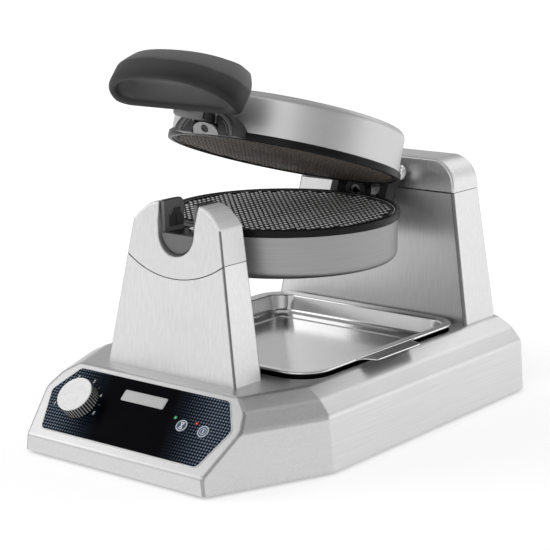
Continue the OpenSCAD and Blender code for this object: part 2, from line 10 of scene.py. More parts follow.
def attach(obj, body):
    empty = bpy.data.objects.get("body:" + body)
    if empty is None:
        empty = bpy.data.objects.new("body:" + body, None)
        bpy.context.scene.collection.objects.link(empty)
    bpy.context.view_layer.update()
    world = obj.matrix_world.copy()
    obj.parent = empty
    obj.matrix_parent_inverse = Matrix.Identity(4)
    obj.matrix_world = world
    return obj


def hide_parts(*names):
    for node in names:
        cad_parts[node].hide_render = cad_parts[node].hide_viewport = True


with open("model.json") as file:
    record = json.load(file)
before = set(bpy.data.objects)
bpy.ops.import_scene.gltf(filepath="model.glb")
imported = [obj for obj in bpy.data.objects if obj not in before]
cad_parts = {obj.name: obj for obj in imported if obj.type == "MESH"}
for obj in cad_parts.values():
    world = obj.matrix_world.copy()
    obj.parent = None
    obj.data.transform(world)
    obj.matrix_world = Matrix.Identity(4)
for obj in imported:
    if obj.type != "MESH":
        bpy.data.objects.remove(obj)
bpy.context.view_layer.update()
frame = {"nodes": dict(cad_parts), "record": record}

MM = 0.001
QUARTER = pi / 2


def link(name, data):
    obj = bpy.data.objects.new(name, data)
    bpy.context.scene.collection.objects.link(obj)
    return obj


# ---- shader nodes


def feed(tree, socket, value):
    """Sets a socket to a value, or links it to another socket."""
    if isinstance(value, bpy.types.NodeSocket):
        tree.links.new(value, socket)
    else:
        socket.default_value = value


def node(tree, kind, output, inputs, **settings):
    """A node with its settings and inputs. Gives one of its outputs."""
    new = tree.nodes.new("ShaderNode" + kind)
    for name, value in settings.items():
        setattr(new, name, value)
    for key, value in inputs.items():
        feed(tree, new.inputs[key], value)
    return new.outputs[output]


def calc(tree, operation, *values):
    return node(tree, "Math", 0, dict(enumerate(values)), operation=operation)


def coords(tree, kind="Object"):
    return node(tree, "TexCoord", kind, {})


def split(tree, vector):
    return node(tree, "SeparateXYZ", 0, {0: vector}).node.outputs[:]


def remap(tree, value, low, high, from_low=0.3, from_high=0.7):
    return node(tree, "MapRange", "Result", {"From Min": from_low, "From Max": from_high, "To Min": low,
                                             "To Max": high, "Value": value})


def rgb(colour):
    """A grey may be given as one number."""
    return colour if isinstance(colour, tuple) else (colour,) * 3


def ramp(tree, value, *stops):
    colour = node(tree, "ValToRGB", "Color", {"Fac": value})
    elements = colour.node.color_ramp.elements
    while len(elements) < len(stops):
        elements.new(0.5)
    for element, (place_on_ramp, stop) in zip(elements, stops):
        element.position = place_on_ramp
        element.color = (*rgb(stop), 1)
    return colour


def noise(tree, vector, detail, rough):
    return node(tree, "TexNoise", "Fac",
                {"Vector": vector, "Scale": 1.0, "Detail": detail, "Roughness": rough})


def speckle(tree, scale, detail=3.0, rough=0.5):
    """Noise on the piece. scale is counts per metre, one number or one along each axis."""
    vector = node(tree, "Mapping", "Vector", {"Vector": coords(tree), "Scale": rgb(scale)})
    return noise(tree, vector, detail, rough)


def new_material(name):
    mat = bpy.data.materials.new(name)
    mat.use_nodes = True
    return mat, mat.node_tree


def set_shader(tree, **values):
    """Sets or links sockets of the material's shader. An underscore stands for a space."""
    shader = tree.nodes["Principled BSDF"]
    for name, value in values.items():
        feed(tree, shader.inputs[name.replace("_", " ")], value)


def finish(tree, colour, rough, grain, depth, reach=0.0002, **more):
    """Colour, roughness and fine bump of a surface, and any other socket of its shader."""
    normal = node(tree, "Bump", "Normal", {"Strength": depth, "Distance": reach, "Height": grain})
    set_shader(tree, Base_Color=colour, Roughness=rough, Normal=normal, **more)


# ---- camera, light and floor

CAMERA_AT = Vector((0.9314, -1.165, 0.4633))
CAMERA_AZ, CAMERA_EL, CAMERA_ROLL = 38.42, 12.63, -0.48  # degrees
CAMERA_LENS, CAMERA_SENSOR = 113.07, 36
WORLD_POWER = 0.85
# Grey of the room by height, from a little under the horizon to overhead
ROOM_FROM, ROOM_TO = -0.3, 1.0
ROOM = ((0.0, 1.0), (0.26, 1.0), (0.42, 0.62), (0.64, 0.5), (1.0, 0.44))
# A dark card beside the machine: its direction, what it leaves of the light, and its soft edge
CARD_TOWARDS = (0.99, -0.14, 0)
CARD_DIMMING = 0.45
CARD_EDGE = (0.84, 0.98)
FLOOR_SIZE = 14
FLOOR_GLOW = (0.42, 0.62)
FLOOR_GLOW_AT = (0.35, 1.1)  # distances from the middle
LIGHTS_AIM = Vector((0, 0, 0.12))
LIGHTS = (  # name, place, size and power
    ("key", (0.6, -1.9, 1.3), (1.8, 1.2), 9),
    ("left", (-1.6, -1.0, 1.2), (1.0, 1.4), 7),
    ("right", (1.7, 1.5, 0.7), (2.0, 1.0), 5),
    ("top", (0.0, 0.2, 2.2), (1.6, 1.6), 2),
    ("back", (0.3, 1.9, 1.4), (1.4, 0.8), 4),
)


def make_camera():
    camera = bpy.data.cameras.new("camera")
    camera.lens = CAMERA_LENS
    camera.sensor_width = CAMERA_SENSOR
    camera.clip_end = 50
    obj = link("camera", camera)
    turn = about("Z", CAMERA_AZ) @ about("X", 90 - CAMERA_EL) @ about("Z", CAMERA_ROLL)
    obj.matrix_world = Matrix.Translation(CAMERA_AT) @ turn
    bpy.context.scene.camera = obj


def make_light():
    scene = bpy.context.scene
    scene.view_settings.view_transform = "Standard"
    scene.world = bpy.data.worlds.new("studio")
    scene.world.use_nodes = True
    tree = scene.world.node_tree
    background = tree.nodes["Background"]
    towards = coords(tree, "Generated")
    height = split(tree, towards)[2]
    feed(tree, background.inputs[0], ramp(tree, remap(tree, height, 0, 1, ROOM_FROM, ROOM_TO), *ROOM))
    card = node(tree, "VectorMath", "Value", {0: towards, 1: CARD_TOWARDS}, operation="DOT_PRODUCT")
    feed(tree, background.inputs[1],
         remap(tree, card, WORLD_POWER, WORLD_POWER * CARD_DIMMING, *CARD_EDGE))
    paper = node(tree, "Background", 0, {0: (1, 1, 1, 1)})
    seen = node(tree, "MixShader", 0, {0: node(tree, "LightPath", "Is Camera Ray", {}),
                                       1: background.outputs[0], 2: paper})
    feed(tree, tree.nodes["World Output"].inputs[0], seen)
    for name, at, size, power in LIGHTS:
        light = bpy.data.lights.new(name, "AREA")
        light.shape = "RECTANGLE"
        light.size, light.size_y = size
        light.energy = power
        obj = link(name, light)
        obj.location = at
        obj.rotation_euler = (LIGHTS_AIM - Vector(at)).to_track_quat("-Z", "Y").to_euler()


def make_floor():
    """White paper that glows a little more away from the machine, so that it stays white."""
    bpy.ops.mesh.primitive_plane_add(size=FLOOR_SIZE, location=(0, 0, 0))
    floor = bpy.context.object
    floor.name = "floor"
    mat, tree = new_material("floor_paper")
    away = node(tree, "VectorMath", "Value", {0: coords(tree)}, operation="LENGTH")
    set_shader(tree, Base_Color=(0.93, 0.93, 0.93, 1), Roughness=0.9, Emission_Color=(1, 1, 1, 1),
               Emission_Strength=remap(tree, away, *FLOOR_GLOW, *FLOOR_GLOW_AT))
    floor.data.materials.append(mat)


# ---- materials

STREAK_SHARE = 0.65  # how far the streaks, and not the broad patches, set the roughness of steel
SPUN_RINGS = 1100  # rings per metre


def steel(tree, fine, patches, low, high, rough, depth, **more):
    """Fine streaks in colour, gloss and bump, and broad patches in gloss."""
    gloss = calc(tree, "ADD", calc(tree, "MULTIPLY", fine, STREAK_SHARE),
                 calc(tree, "MULTIPLY", speckle(tree, patches), 1 - STREAK_SHARE))
    finish(tree, ramp(tree, fine, (0.3, low), (0.7, high)), remap(tree, gloss, *rough), fine, depth, **more)


def brushed_steel(name, grain, low, high, rough, depth, metallic=1.0):
    """Brushed stainless steel. grain is the scale of the streaks: large across them, small along them."""
    mat, tree = new_material(name)
    steel(tree, speckle(tree, grain, 4.0, 0.6), 14, low, high, rough, depth, Metallic=metallic)
    return mat


def spun_steel(name, low, high, rough):
    """Steel turned in a lathe: fine rings round the Z axis of the piece."""
    mat, tree = new_material(name)
    x, y, z = split(tree, coords(tree))
    squares = calc(tree, "ADD", calc(tree, "MULTIPLY", x, x), calc(tree, "MULTIPLY", y, y))
    rings = node(tree, "CombineXYZ", 0, {
        0: calc(tree, "MULTIPLY", calc(tree, "SQRT", squares), SPUN_RINGS),
        1: calc(tree, "MULTIPLY", z, SPUN_RINGS),
        2: calc(tree, "MULTIPLY", calc(tree, "ADD", x, y), 14),
    })
    round_z = node(tree, "Tangent", 0, {}, direction_type="RADIAL", axis="Z")
    steel(tree, noise(tree, rings, 4.0, 0.6), 16, low, high, rough, 0.02,
          Metallic=1.0, Tangent=round_z, Anisotropic=0.4)
    return mat


WEAVE = 0.0028  # pitch of the printed pattern
WEAVE_SLANT = 0.25  # slope of the line from which it fades in
WEAVE_MIDDLE_Y = 0.040
WEAVE_FADE = (0.036, 0.080)


def panel_print(name):
    """Glossy black overlay with a woven pattern printed towards both ends, in the slope's own plane."""
    mat, tree = new_material(name)
    x, y, _ = split(tree, coords(tree))

    def wave(value):
        swing = calc(tree, "COSINE", calc(tree, "MULTIPLY", value, 2 * pi / WEAVE))
        return calc(tree, "MULTIPLY_ADD", swing, 0.5, 0.5)

    across, along = wave(x), wave(y)
    crossing = calc(tree, "POWER", calc(tree, "MULTIPLY", across, along), 0.8)
    line = calc(tree, "POWER", calc(tree, "MAXIMUM", across, along), 5)
    weave = calc(tree, "MAXIMUM", crossing, calc(tree, "MULTIPLY", line, 0.4))
    slanted = calc(tree, "MULTIPLY_ADD", y, WEAVE_SLANT, -WEAVE_SLANT * WEAVE_MIDDLE_Y)
    ends = remap(tree, calc(tree, "ABSOLUTE", calc(tree, "ADD", x, slanted)), 0, 1, *WEAVE_FADE)
    shown = calc(tree, "MULTIPLY", weave, calc(tree, "POWER", ends, 0.9))
    ink = ramp(tree, shown, (0.0, (0.001, 0.001, 0.002)), (0.25, (0.012, 0.019, 0.032)),
               (1.0, (0.27, 0.34, 0.44)))
    finish(tree, ink, remap(tree, speckle(tree, 60), 0.3, 0.42), speckle(tree, 1500, 2.0), 0.04,
           Specular_IOR_Level=0.02)
    return mat


def cast_metal(name, colour, rough, metallic=0.0, size=900, specular=0.5):
    """A painted or coated casting with a fine grain and a slight unevenness of gloss."""
    mat, tree = new_material(name)
    grain = speckle(tree, size, 3.0, 0.6)
    darker = tuple(c * 0.75 for c in rgb(colour))
    finish(tree, ramp(tree, grain, (0.3, darker), (0.7, colour)),
           remap(tree, speckle(tree, 30, 2.0), rough - 0.06, rough + 0.06), grain, 0.15, 0.0003,
           Metallic=metallic, Specular_IOR_Level=specular)
    return mat


def plain_finish(name, colour, rough, metallic=0.0, coat=0.0):
    """Moulded plastic or turned metal: small mottling in colour and gloss."""
    mat, tree = new_material(name)
    mottle = speckle(tree, 400, 2.0)
    darker = tuple(c * 0.9 for c in rgb(colour))
    finish(tree, ramp(tree, mottle, (0.3, darker), (0.7, colour)),
           remap(tree, mottle, rough - 0.03, rough + 0.03), mottle, 0.05,
           Metallic=metallic, Coat_Weight=coat)
    return mat


GRIP_HALF = 0.018  # half the grip's height
# Greys from the grip's lower edge to its top, outside and inside: painted shade along the lower edge, a
# painted highlight along the top, and painted light all over the inside
GRIP_OUTSIDE_PAINTED_LIGHT = ((0.0, 0.008), (0.22, 0.01), (0.42, 0.03), (0.6, 0.045), (0.66, 0.11), (1.0, 0.15))
GRIP_INSIDE_PAINTED_LIGHT = ((0.0, 0.12), (0.2, 0.15), (0.6, 0.18), (0.7, 0.25))


def moulded_grip(name):
    """Matt moulded grip with painted light: lighter along its upper part and inside, painted shade under its
    lower edge, with a little random mottle.
    """
    mat, tree = new_material(name)
    height = remap(tree, split(tree, coords(tree))[2], 0, 1, -GRIP_HALF, GRIP_HALF)
    # height plus a little random mottle; the ramps turn the low part into painted shade and the top into a
    # painted highlight
    painted_light_and_mottle = calc(tree, "MULTIPLY_ADD", speckle(tree, 25, 2.0), 0.12, height)
    inside = node(tree, "Attribute", "Fac", {}, attribute_name="inside")
    # Sockets 6 and 7 and output 2 are the mix node's colours
    colour = node(tree, "Mix", 2, {"Factor": inside, 6: ramp(tree, painted_light_and_mottle, *GRIP_OUTSIDE_PAINTED_LIGHT),
                                   7: ramp(tree, painted_light_and_mottle, *GRIP_INSIDE_PAINTED_LIGHT)}, data_type="RGBA")
    grain = speckle(tree, 1500, 3.0, 0.6)
    finish(tree, colour, remap(tree, grain, 0.46, 0.56), grain, 0.08, 0.0003, Specular_IOR_Level=0.3)
    return mat


UPRIGHT, LENGTHWISE = (900, 900, 12), (900, 12, 900)
STEELS = {  # streaks; darkest and lightest grey; roughness; depth; metallic
    "brushed_steel": (UPRIGHT, 0.64, 0.74, (0.34, 0.44), 0.05),
    "base_steel": (LENGTHWISE, 0.64, 0.72, (0.32, 0.44), 0.05),
    "head_steel": (UPRIGHT, 0.66, 0.76, (0.46, 0.56), 0.05),
    # a lighter, less metallic copy of the steel for the prongs' top facets: painted light
    "painted_light_top_steel": (LENGTHWISE, 0.8, 0.9, (0.46, 0.56), 0.05, 0.35),
    # a darker copy of the base steel for the slanting front corners: painted shade
    "painted_shade_corner_steel": (LENGTHWISE, 0.34, 0.42, (0.32, 0.44), 0.05),
    # a dark copy of the steel for the towers' rounded front corners: painted shade
    "painted_shade_edge_steel": (UPRIGHT, 0.2, 0.26, (0.34, 0.44), 0.05),
    "badge_silver": ((60, 1200, 60), 0.4, 0.5, (0.3, 0.4), 0.12),
    "tray_steel": ((900, 14, 900), 0.68, 0.76, (0.12, 0.2), 0.03),
    "tray_tab_steel": ((900, 14, 900), 0.3, 0.36, (0.2, 0.3), 0.03),
    "polished_steel": ((60, 200, 60), 0.72, 0.8, (0.12, 0.2), 0.12),
}
SPUN = {  # darkest and lightest grey; roughness
    "spun_steel": (0.55, 0.58, (0.38, 0.48)),
    # a darker copy of the spun steel for the lower pan: painted shade
    "painted_shade_spun_steel": (0.29, 0.33, (0.36, 0.46)),
}
CAST = {  # colour, roughness, metallic, grains per metre, specular level
    "rim_casting": (0.006, 0.34, 0.0, 900, 0.14),
    "journal_grey": (0.16, 0.42, 0.2),
    "bell_casting": (0.055, 0.38, 0.3),
    "bell_band": (0.16, 0.35, 0.4),
    # near-white pad tops on the black lower iron: a painted highlight
    "pad_painted_highlight": (1.0, 0.35, 0.1, 900, 0.8),
    "pad_warm": ((0.11, 0.075, 0.05), 0.4, 0.3),
    "grid_worn": ((0.04, 0.037, 0.033), 0.4),
    "dark_well": (0.02, 0.5),
    "rubber": (0.02, 0.8, 0.0, 500),
    "liner_grey": (0.14, 0.42, 0.2),
    "dark_casting": (0.04, 0.38, 0.3),
    "grid_black": (0.012, 0.45),
    "heater_sheath": ((0.25, 0.2, 0.17), 0.5, 1.0),
}
PLAIN = {  # colour, roughness, metallic, coat
    "panel_line": (0.75, 0.4),
    "key_blue": ((0.045, 0.08, 0.155), 0.4),
    "key_silver": ((0.62, 0.68, 0.74), 0.35, 0.3),
    "print_white": (0.85, 0.5),
    "print_grey": (0.3, 0.5),
    "neck_silver": (0.3, 0.35, 0.7),
    "pin_chrome": (0.8, 0.12, 1.0),
    "plated_sheet": (0.6, 0.35, 1.0),
    "panel_black": (0.01, 0.35, 0.0, 0.2),
    "knob_black": (0.015, 0.4),
    # light grey for the knob's rib tops: a painted highlight
    "knob_rib_painted_highlight": (0.55, 0.3),
    "knob_white": (1.0, 0.45),
    "lens_green": ((0.1, 0.8, 0.2), 0.2),
    "lens_red": ((0.85, 0.05, 0.05), 0.2),
    "board_green": ((0.02, 0.15, 0.05), 0.4),
    "black_plastic": (0.02, 0.5),
    "relay_blue": ((0.02, 0.05, 0.3), 0.4),
    "bronze": ((0.5, 0.33, 0.17), 0.3, 1.0),
    "black_screw": (0.02, 0.35, 0.5),
}
MATERIALS = {"panel_print": panel_print("panel_print"), "handle_grey": moulded_grip("handle_grey")}
for make, table in ((brushed_steel, STEELS), (spun_steel, SPUN), (cast_metal, CAST), (plain_finish, PLAIN)):
    MATERIALS.update({name: make(name, *values) for name, values in table.items()})


# ---- outlines, all in millimetres


def lerp(a, b, t):
    return a + (b - a) * t


def spread(start, end, steps):
    """steps + 1 evenly spaced values."""
    return [lerp(start, end, k / steps) for k in range(steps + 1)]


def lookup(table, x):
    """Linear interpolation in a table of (x, value) rows with rising x."""
    for (x0, v0), (x1, v1) in zip(table, table[1:]):
        if x <= x1:
            return lerp(v0, v1, (x - x0) / (x1 - x0) if x1 > x0 else 1)
    return table[-1][1]


def arc(radius, start, end, steps, x=0.0, y=0.0, rise=None):
    """Points between two angles of a circle, or of an ellipse with a rise of its own."""
    rise = radius if rise is None else rise
    return [Vector((x + radius * cos(a), y + rise * sin(a))) for a in spread(start, end, steps)]


def circle(radius, count, x=0.0, y=0.0):
    return arc(radius, 0, 2 * pi, count, x, y)[:-1]


def fillet(points, radii, steps=6, closed=True):
    """The polyline with each corner rounded. A corner with no radius stays one point."""
    result = []
    count = len(points)
    for i, (point, radius) in enumerate(zip(points, radii)):
        here = Vector(point)
        if radius <= 0 or (not closed and i in (0, count - 1)):
            result.append(here)
            continue
        before = (Vector(points[i - 1]) - here).normalized()
        after = (Vector(points[(i + 1) % count]) - here).normalized()
        half = before.angle(after) / 2
        middle = here + (before + after).normalized() * (radius / sin(half))
        start = here + before * (radius / tan(half)) - middle
        end = here + after * (radius / tan(half)) - middle
        turn = start.angle(end)
        for t in spread(0, 1, steps):
            mix = (start * sin((1 - t) * turn) + end * sin(t * turn)) / sin(turn)
            result.append(middle + mix)
    return result


def offset(outline, distance):
    """The closed outline moved inwards by distance. The outline runs anticlockwise."""
    result = []
    count = len(outline)
    for i, point in enumerate(outline):
        before = (point - outline[i - 1]).normalized()
        after = (outline[(i + 1) % count] - point).normalized()
        inward = Vector((-before.y - after.y, before.x + after.x))
        size = inward.length
        if size < 1e-6:
            result.append(point.copy())
            continue
        inward /= size
        result.append(point + inward * (distance / max(0.35, size / 2)))
    return result


def round_rect(box, grow, radius, steps):
    x0, x1, y0, y1 = box[0] - grow, box[1] + grow, box[2] - grow, box[3] + grow
    return fillet([(x0, y0), (x1, y0), (x1, y1), (x0, y1)], [radius] * 4, steps)


def ring_at(outline, z):
    return [Vector((p[0], p[1], z)) for p in outline]


# ---- solids, all in millimetres


def loft(rings, cap_first=True, bm=None):
    """Skins the rings, which are lists of the same number of 3-D points, in a new mesh or in bm."""
    bm = bm or bmesh.new()
    rows = [[bm.verts.new(p) for p in ring] for ring in rings]
    count = len(rows[0])
    for low, high in zip(rows, rows[1:]):
        for i in range(count):
            j = (i + 1) % count
            bm.faces.new((low[i], low[j], high[j], high[i]))
    if cap_first:
        bm.faces.new(reversed(rows[0]))
    bm.faces.new(rows[-1])
    return bm


def slab(outline, z0, z1, top=0.0, bottom=0.0, steps=4, bm=None):
    """A plate with its top and bottom edges rounded by those radii."""
    rings = []
    for a in spread(0, QUARTER, steps) if bottom else [QUARTER]:
        rings.append(ring_at(offset(outline, bottom * (1 - sin(a))), z0 + bottom * (1 - cos(a))))
    for a in spread(0, QUARTER, steps) if top else [0]:
        rings.append(ring_at(offset(outline, top * (1 - cos(a))), z1 - top * (1 - sin(a))))
    return loft(rings, bm=bm)


def lathe(profile, segments, closed=True, bm=None):
    """Turns a profile of (radius, z) round the Z axis. A closed profile makes a ring."""
    bm = bm or bmesh.new()
    rows = []
    for a in spread(0, 2 * pi, segments)[:-1]:
        rows.append([bm.verts.new((r * cos(a), r * sin(a), z)) for r, z in profile])
    count = len(profile)
    for i, here in enumerate(rows):
        there = rows[(i + 1) % segments]
        for k in range(count if closed else count - 1):
            m = (k + 1) % count
            bm.faces.new((here[k], there[k], there[m], here[m]))
    bmesh.ops.remove_doubles(bm, verts=bm.verts, dist=1e-5)
    return bm


def sweep(path, radius, sides):
    """A round bar along a path of 3-D points."""
    rings = []
    for i, point in enumerate(path):
        ahead, behind = path[min(i + 1, len(path) - 1)], path[max(i - 1, 0)]
        along = (ahead - behind).normalized()
        side = along.cross(Vector((0, 0, 1)))
        if side.length < 1e-4:
            side = Vector((1, 0, 0))
        side.normalize()
        lift = side.cross(along)
        rings.append([point + side * p.x + lift * p.y for p in circle(radius, sides)])
    return loft(rings)


def flat_ring(outer, inner, z0, z1, edge=0.15, count=48, bm=None):
    profile = fillet([(inner, z0), (outer, z0), (outer, z1), (inner, z1)], [0, 0, edge, edge], 3)
    return lathe(profile, count, bm=bm)


def strip(bm, line, width, z0, z1):
    """A flat raised stroke along a 2-D polyline."""
    for start, end in zip(line, line[1:]):
        start, end = Vector(start), Vector(end)
        along = (end - start).normalized() * (width / 2)
        side = Vector((-along.y, along.x))
        outline = [start - along - side, end + along - side, end + along + side, start - along + side]
        loft([ring_at(outline, z0), ring_at(outline, z1)], bm=bm)


def moved(bm, matrix):
    bmesh.ops.transform(bm, matrix=matrix, verts=bm.verts)
    return bm


def place(x=0.0, y=0.0, z=0.0):
    return Matrix.Translation((x, y, z))


def about(axis, degrees):
    return Matrix.Rotation(radians(degrees), 4, axis)


# ---- pieces


def mesh_from(name, bm):
    mesh = bpy.data.meshes.new(name)
    bm.to_mesh(mesh)
    bm.free()
    return mesh


def add(bm, part):
    """Adds one mesh to another."""
    mesh = mesh_from("part", part)
    bm.from_mesh(mesh)
    bpy.data.meshes.remove(mesh)


def modify(obj, kind, **settings):
    """Adds a modifier and turns it into the piece's mesh."""
    modifier = obj.modifiers.new(kind, kind)
    for name, value in settings.items():
        setattr(modifier, name, value)
    bpy.context.view_layer.update()
    graph = bpy.context.evaluated_depsgraph_get()
    mesh = bpy.data.meshes.new_from_object(obj.evaluated_get(graph), depsgraph=graph)
    old = obj.data
    obj.modifiers.clear()
    obj.data = mesh
    bpy.data.meshes.remove(old)


def cut(obj, shape):
    """Takes a shape given in millimetres out of a piece."""
    cutter = new_piece("cutter", shape)
    mesh = cutter.data
    modify(obj, "BOOLEAN", operation="DIFFERENCE", solver="EXACT", object=cutter)
    bpy.data.objects.remove(cutter)
    bpy.data.meshes.remove(mesh)


def new_piece(name, bm):
    """An object from a mesh in millimetres, with its faces turned outwards."""
    bmesh.ops.remove_doubles(bm, verts=bm.verts, dist=1e-5)
    bmesh.ops.recalc_face_normals(bm, faces=bm.faces)
    bmesh.ops.scale(bm, vec=(MM, MM, MM), verts=bm.verts)
    return link(name, mesh_from(name, bm))


def node_copy(name, cad):
    """A new piece that starts as a cleaned copy of a CAD node's form."""
    bm = bmesh.new()
    bm.from_mesh(frame["nodes"][cad].data)
    bmesh.ops.remove_doubles(bm, verts=bm.verts, dist=2e-6)
    bmesh.ops.dissolve_limit(bm, angle_limit=radians(1), verts=bm.verts, edges=bm.edges)
    return link(name, mesh_from(name, bm))


def settle(obj, matrix):
    """Gives a piece a place in millimetres without touching its mesh."""
    at = matrix.copy()
    at.translation = matrix.translation * MM
    obj.matrix_world = at @ obj.matrix_world
    return obj


def dress(obj, material, body, *stands_for, sharp=40, weighted=True, slot=None):
    """Shading, finish, body and the CAD nodes that the piece stands for. The slot argument is not used."""
    mesh = obj.data
    mesh.polygons.foreach_set("use_smooth", [True] * len(mesh.polygons))
    mesh.set_sharp_from_angle(angle=radians(sharp))
    if weighted:
        modify(obj, "WEIGHTED_NORMAL", keep_sharp=True, weight=80)
    obj.data.materials.clear()
    obj.data.materials.append(MATERIALS[material])
    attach(obj, body)
    if stands_for:
        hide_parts(*stands_for)
    return obj


def piece(name, bm, material, body, *stands_for, at=Matrix(), **looks):
    """A finished piece from a mesh in millimetres."""
    return dress(settle(new_piece(name, bm), at), material, body, *stands_for, **looks)


def second_finish(obj, material, picked):
    """Gives the faces for which picked(face) is true another finish."""
    obj.data.materials.append(MATERIALS[material])
    for face in obj.data.polygons:
        if picked(face):
            face.material_index = len(obj.data.materials) - 1


def looks_up(face):
    return face.normal.z > 0.8


# ---- base

FRONT_Y, REAR_Y = -206.5, 206.5
FRONT_Z, DECK_Z, HEM_Z = 16.6, 67.9, 3.0
HEM_IN = 1.6
SLOPE_RUN, SLOPE_RISE = 57.7, 51.3
BASE_HW = 144.1
# The slanting front corners: direction and distance from the middle of the line that they follow
CUT_DIR = (0.3856, 0.9227)
CUT_OFF = 170.6
WELL = (-107, 107, -83, 148)
WELL_CORNER = 28


def base_profiles():
    """Side inset, front Y and rear Y of the shell, each as rows of (height, value)."""
    side = fillet([(0, HEM_Z), (5, 48), (16.2, 59.5), (32.5, DECK_Z), (60, DECK_Z)],
                  [0, 9, 16, 12, 0], 5, False)[:-1]
    front = fillet([(FRONT_Y, HEM_Z), (FRONT_Y, FRONT_Z), (FRONT_Y + SLOPE_RUN, DECK_Z), (0, DECK_Z)],
                   [0, 5, 5, 0], 5, False)[:-1]
    rear = fillet([(REAR_Y, HEM_Z), (REAR_Y, DECK_Z), (0, DECK_Z)], [0, 1, 0], 4, False)[:-1]
    return [[(p.y, p.x) for p in line] for line in (side, front, rear)]


def base_outline(inset, front_y, rear_y, z):
    x_side = BASE_HW - inset
    y_side = (CUT_DIR[1] * x_side - CUT_OFF + inset) / CUT_DIR[0]
    x_front = (CUT_OFF - inset + CUT_DIR[0] * front_y) / CUT_DIR[1]
    rise = (z - HEM_Z) / (DECK_Z - HEM_Z)
    corner, back = lerp(10, 6, rise), lerp(8, 2, rise)
    points = [(-x_front, front_y), (x_front, front_y), (x_side, y_side),
              (x_side, rear_y), (-x_side, rear_y), (-x_side, y_side)]
    return fillet(points, [4, 4, corner, back, back, corner], 6)


def base_skin():
    """The folded shell, in rings from the hem up to the deck, with the tray's well cut out."""
    profiles = base_profiles()
    heights = sorted({round(z, 2) for line in profiles for z, _ in line})
    heights = [z for i, z in enumerate(heights) if i == 0 or z - heights[i - 1] > 0.04]
    rings = [ring_at(base_outline(*(lookup(line, z) for line in profiles), z), z) for z in heights]
    hem = offset([p.xy for p in rings[0]], HEM_IN)
    obj = new_piece("base_skin", loft([ring_at(hem, HEM_Z + 3), ring_at(hem, HEM_Z)] + rings))
    levels = ((0.4, 50.2), (0.4, 66.9), (0.6, 67.3), (1.0, 67.7), (1.7, DECK_Z), (1.7, 72))
    well = [ring_at(round_rect(WELL, grow, WELL_CORNER + grow, 10), z) for grow, z in levels]
    cut(obj, loft(well))
    dress(obj, "base_steel", "base", "base_shell", sharp=30, slot="brushed_steel")
    # the slanting front corner facets and their roundings take the darker copy of the steel: painted shade
    second_finish(obj, "painted_shade_corner_steel",
                  lambda face: 0.25 < abs(face.normal.x) < 0.85 and face.normal.y < -0.4)


# ---- control slope

SLOPE = place(0, FRONT_Y, FRONT_Z) @ Matrix.Rotation(atan2(SLOPE_RISE, SLOPE_RUN), 4, "X")
KEYS = (("start_key", "start_button", 51.4, 40.5), ("standby_key", "standby_button", 74.5, 39.8))
KEY_HOLE_R = 5.4


def control_panel():
    outline = fillet([(-85.5, 9), (85.5, 9), (99, 46), (82, 71.5), (-82, 71.5), (-99, 46)], [5] * 6, 6)
    for name, shape, top, material, nodes in (
        ("panel_face", outline, 0.9, "panel_print", ("control_panel",)),
        ("panel_border", offset(outline, -0.9), 0.55, "panel_line", ()),
    ):
        obj = new_piece(name, slab(shape, 0.02, top, top=0.25, steps=2))
        for _, _, x, y in KEYS:
            cut(obj, slab(circle(KEY_HOLE_R, 64, x, y), -1, 2))
        dress(settle(obj, SLOPE), material, "base", *nodes, slot="panel_black")


# ---- towers

BLOCK_DEPTH = 30.0


def edge_offset(outline, distances):
    """The outline with the edge from each point to the next moved inwards by its own distance."""
    result = []
    count = len(outline)
    for i, point in enumerate(outline):
        before = (point - outline[i - 1]).normalized()
        after = (outline[(i + 1) % count] - point).normalized()
        n0, n1 = Vector((-before.y, before.x)), Vector((-after.y, after.x))
        d0, d1 = distances[i - 1], distances[i]
        cross = n0.x * n1.y - n0.y * n1.x
        if abs(cross) < 0.2:
            result.append(point + (n0 + n1).normalized() * ((d0 + d1) / 2))
        else:
            result.append(point + Vector((d0 * n1.y - d1 * n0.y, n0.x * d1 - n1.x * d0)) / cross)
    return result


def upright(outline, radii):
    """A block with that front outline in X and Z, from y 0 back to BLOCK_DEPTH, its edges rounded."""
    reach = [max(radii[i - 1], radii[i]) for i in range(len(outline))]
    turns = spread(0, QUARTER, 4)
    rings = []
    for back, angles in ((False, turns), (True, turns[::-1])):
        for a in angles:
            shape = edge_offset(outline, [r * (1 - sin(a)) for r in radii])
            depths = [r * (1 - cos(a)) for r in reach]
            rings.append([Vector((p.x, BLOCK_DEPTH - y if back else y, p.y)) for p, y in zip(shape, depths)])
    return loft(rings)


def lean(bm, front, rear):
    """Shears a block made by upright() so that it runs from front(z) to rear(z)."""
    for vert in bm.verts:
        _, y, z = vert.co
        vert.co.y = lerp(lookup(front, z), lookup(rear, z), y / BLOCK_DEPTH)
    return bm


CORNERS_BEYOND = 30


def paint_corner_shade(obj, top):
    """Gives the rounded front corners below a height a darker copy of the steel: painted shade."""
    def picked(face):
        outer = abs(face.center.x) > CORNERS_BEYOND * MM and face.center.z < top * MM
        return outer and abs(face.normal.x) > 0.3 and face.normal.y < -0.3

    second_finish(obj, "painted_shade_edge_steel", picked)


FT_FRONT = [(67.9, -133.4), (195.2, -121.9), (210.5, -118.2)]
FT_REAR = [(67.9, -97.6), (195.2, -92.0), (210.5, -91.4)]
FT_BEND_Z = 195.2
FT_FOOT_HW, FT_TOP_HW = 70.9, 47.5
SEAM_MID_Z = 240.6
SEAM_R = 92.0
SEAM_GAP = 0.5
AXIS_Z = 186.5
PLATE_Y = 21.5
NOTCH_R = 19.5


def ft_half(z):
    return FT_TOP_HW + (FT_BEND_Z - z) * (FT_FOOT_HW - FT_TOP_HW) / (FT_BEND_Z - DECK_Z)


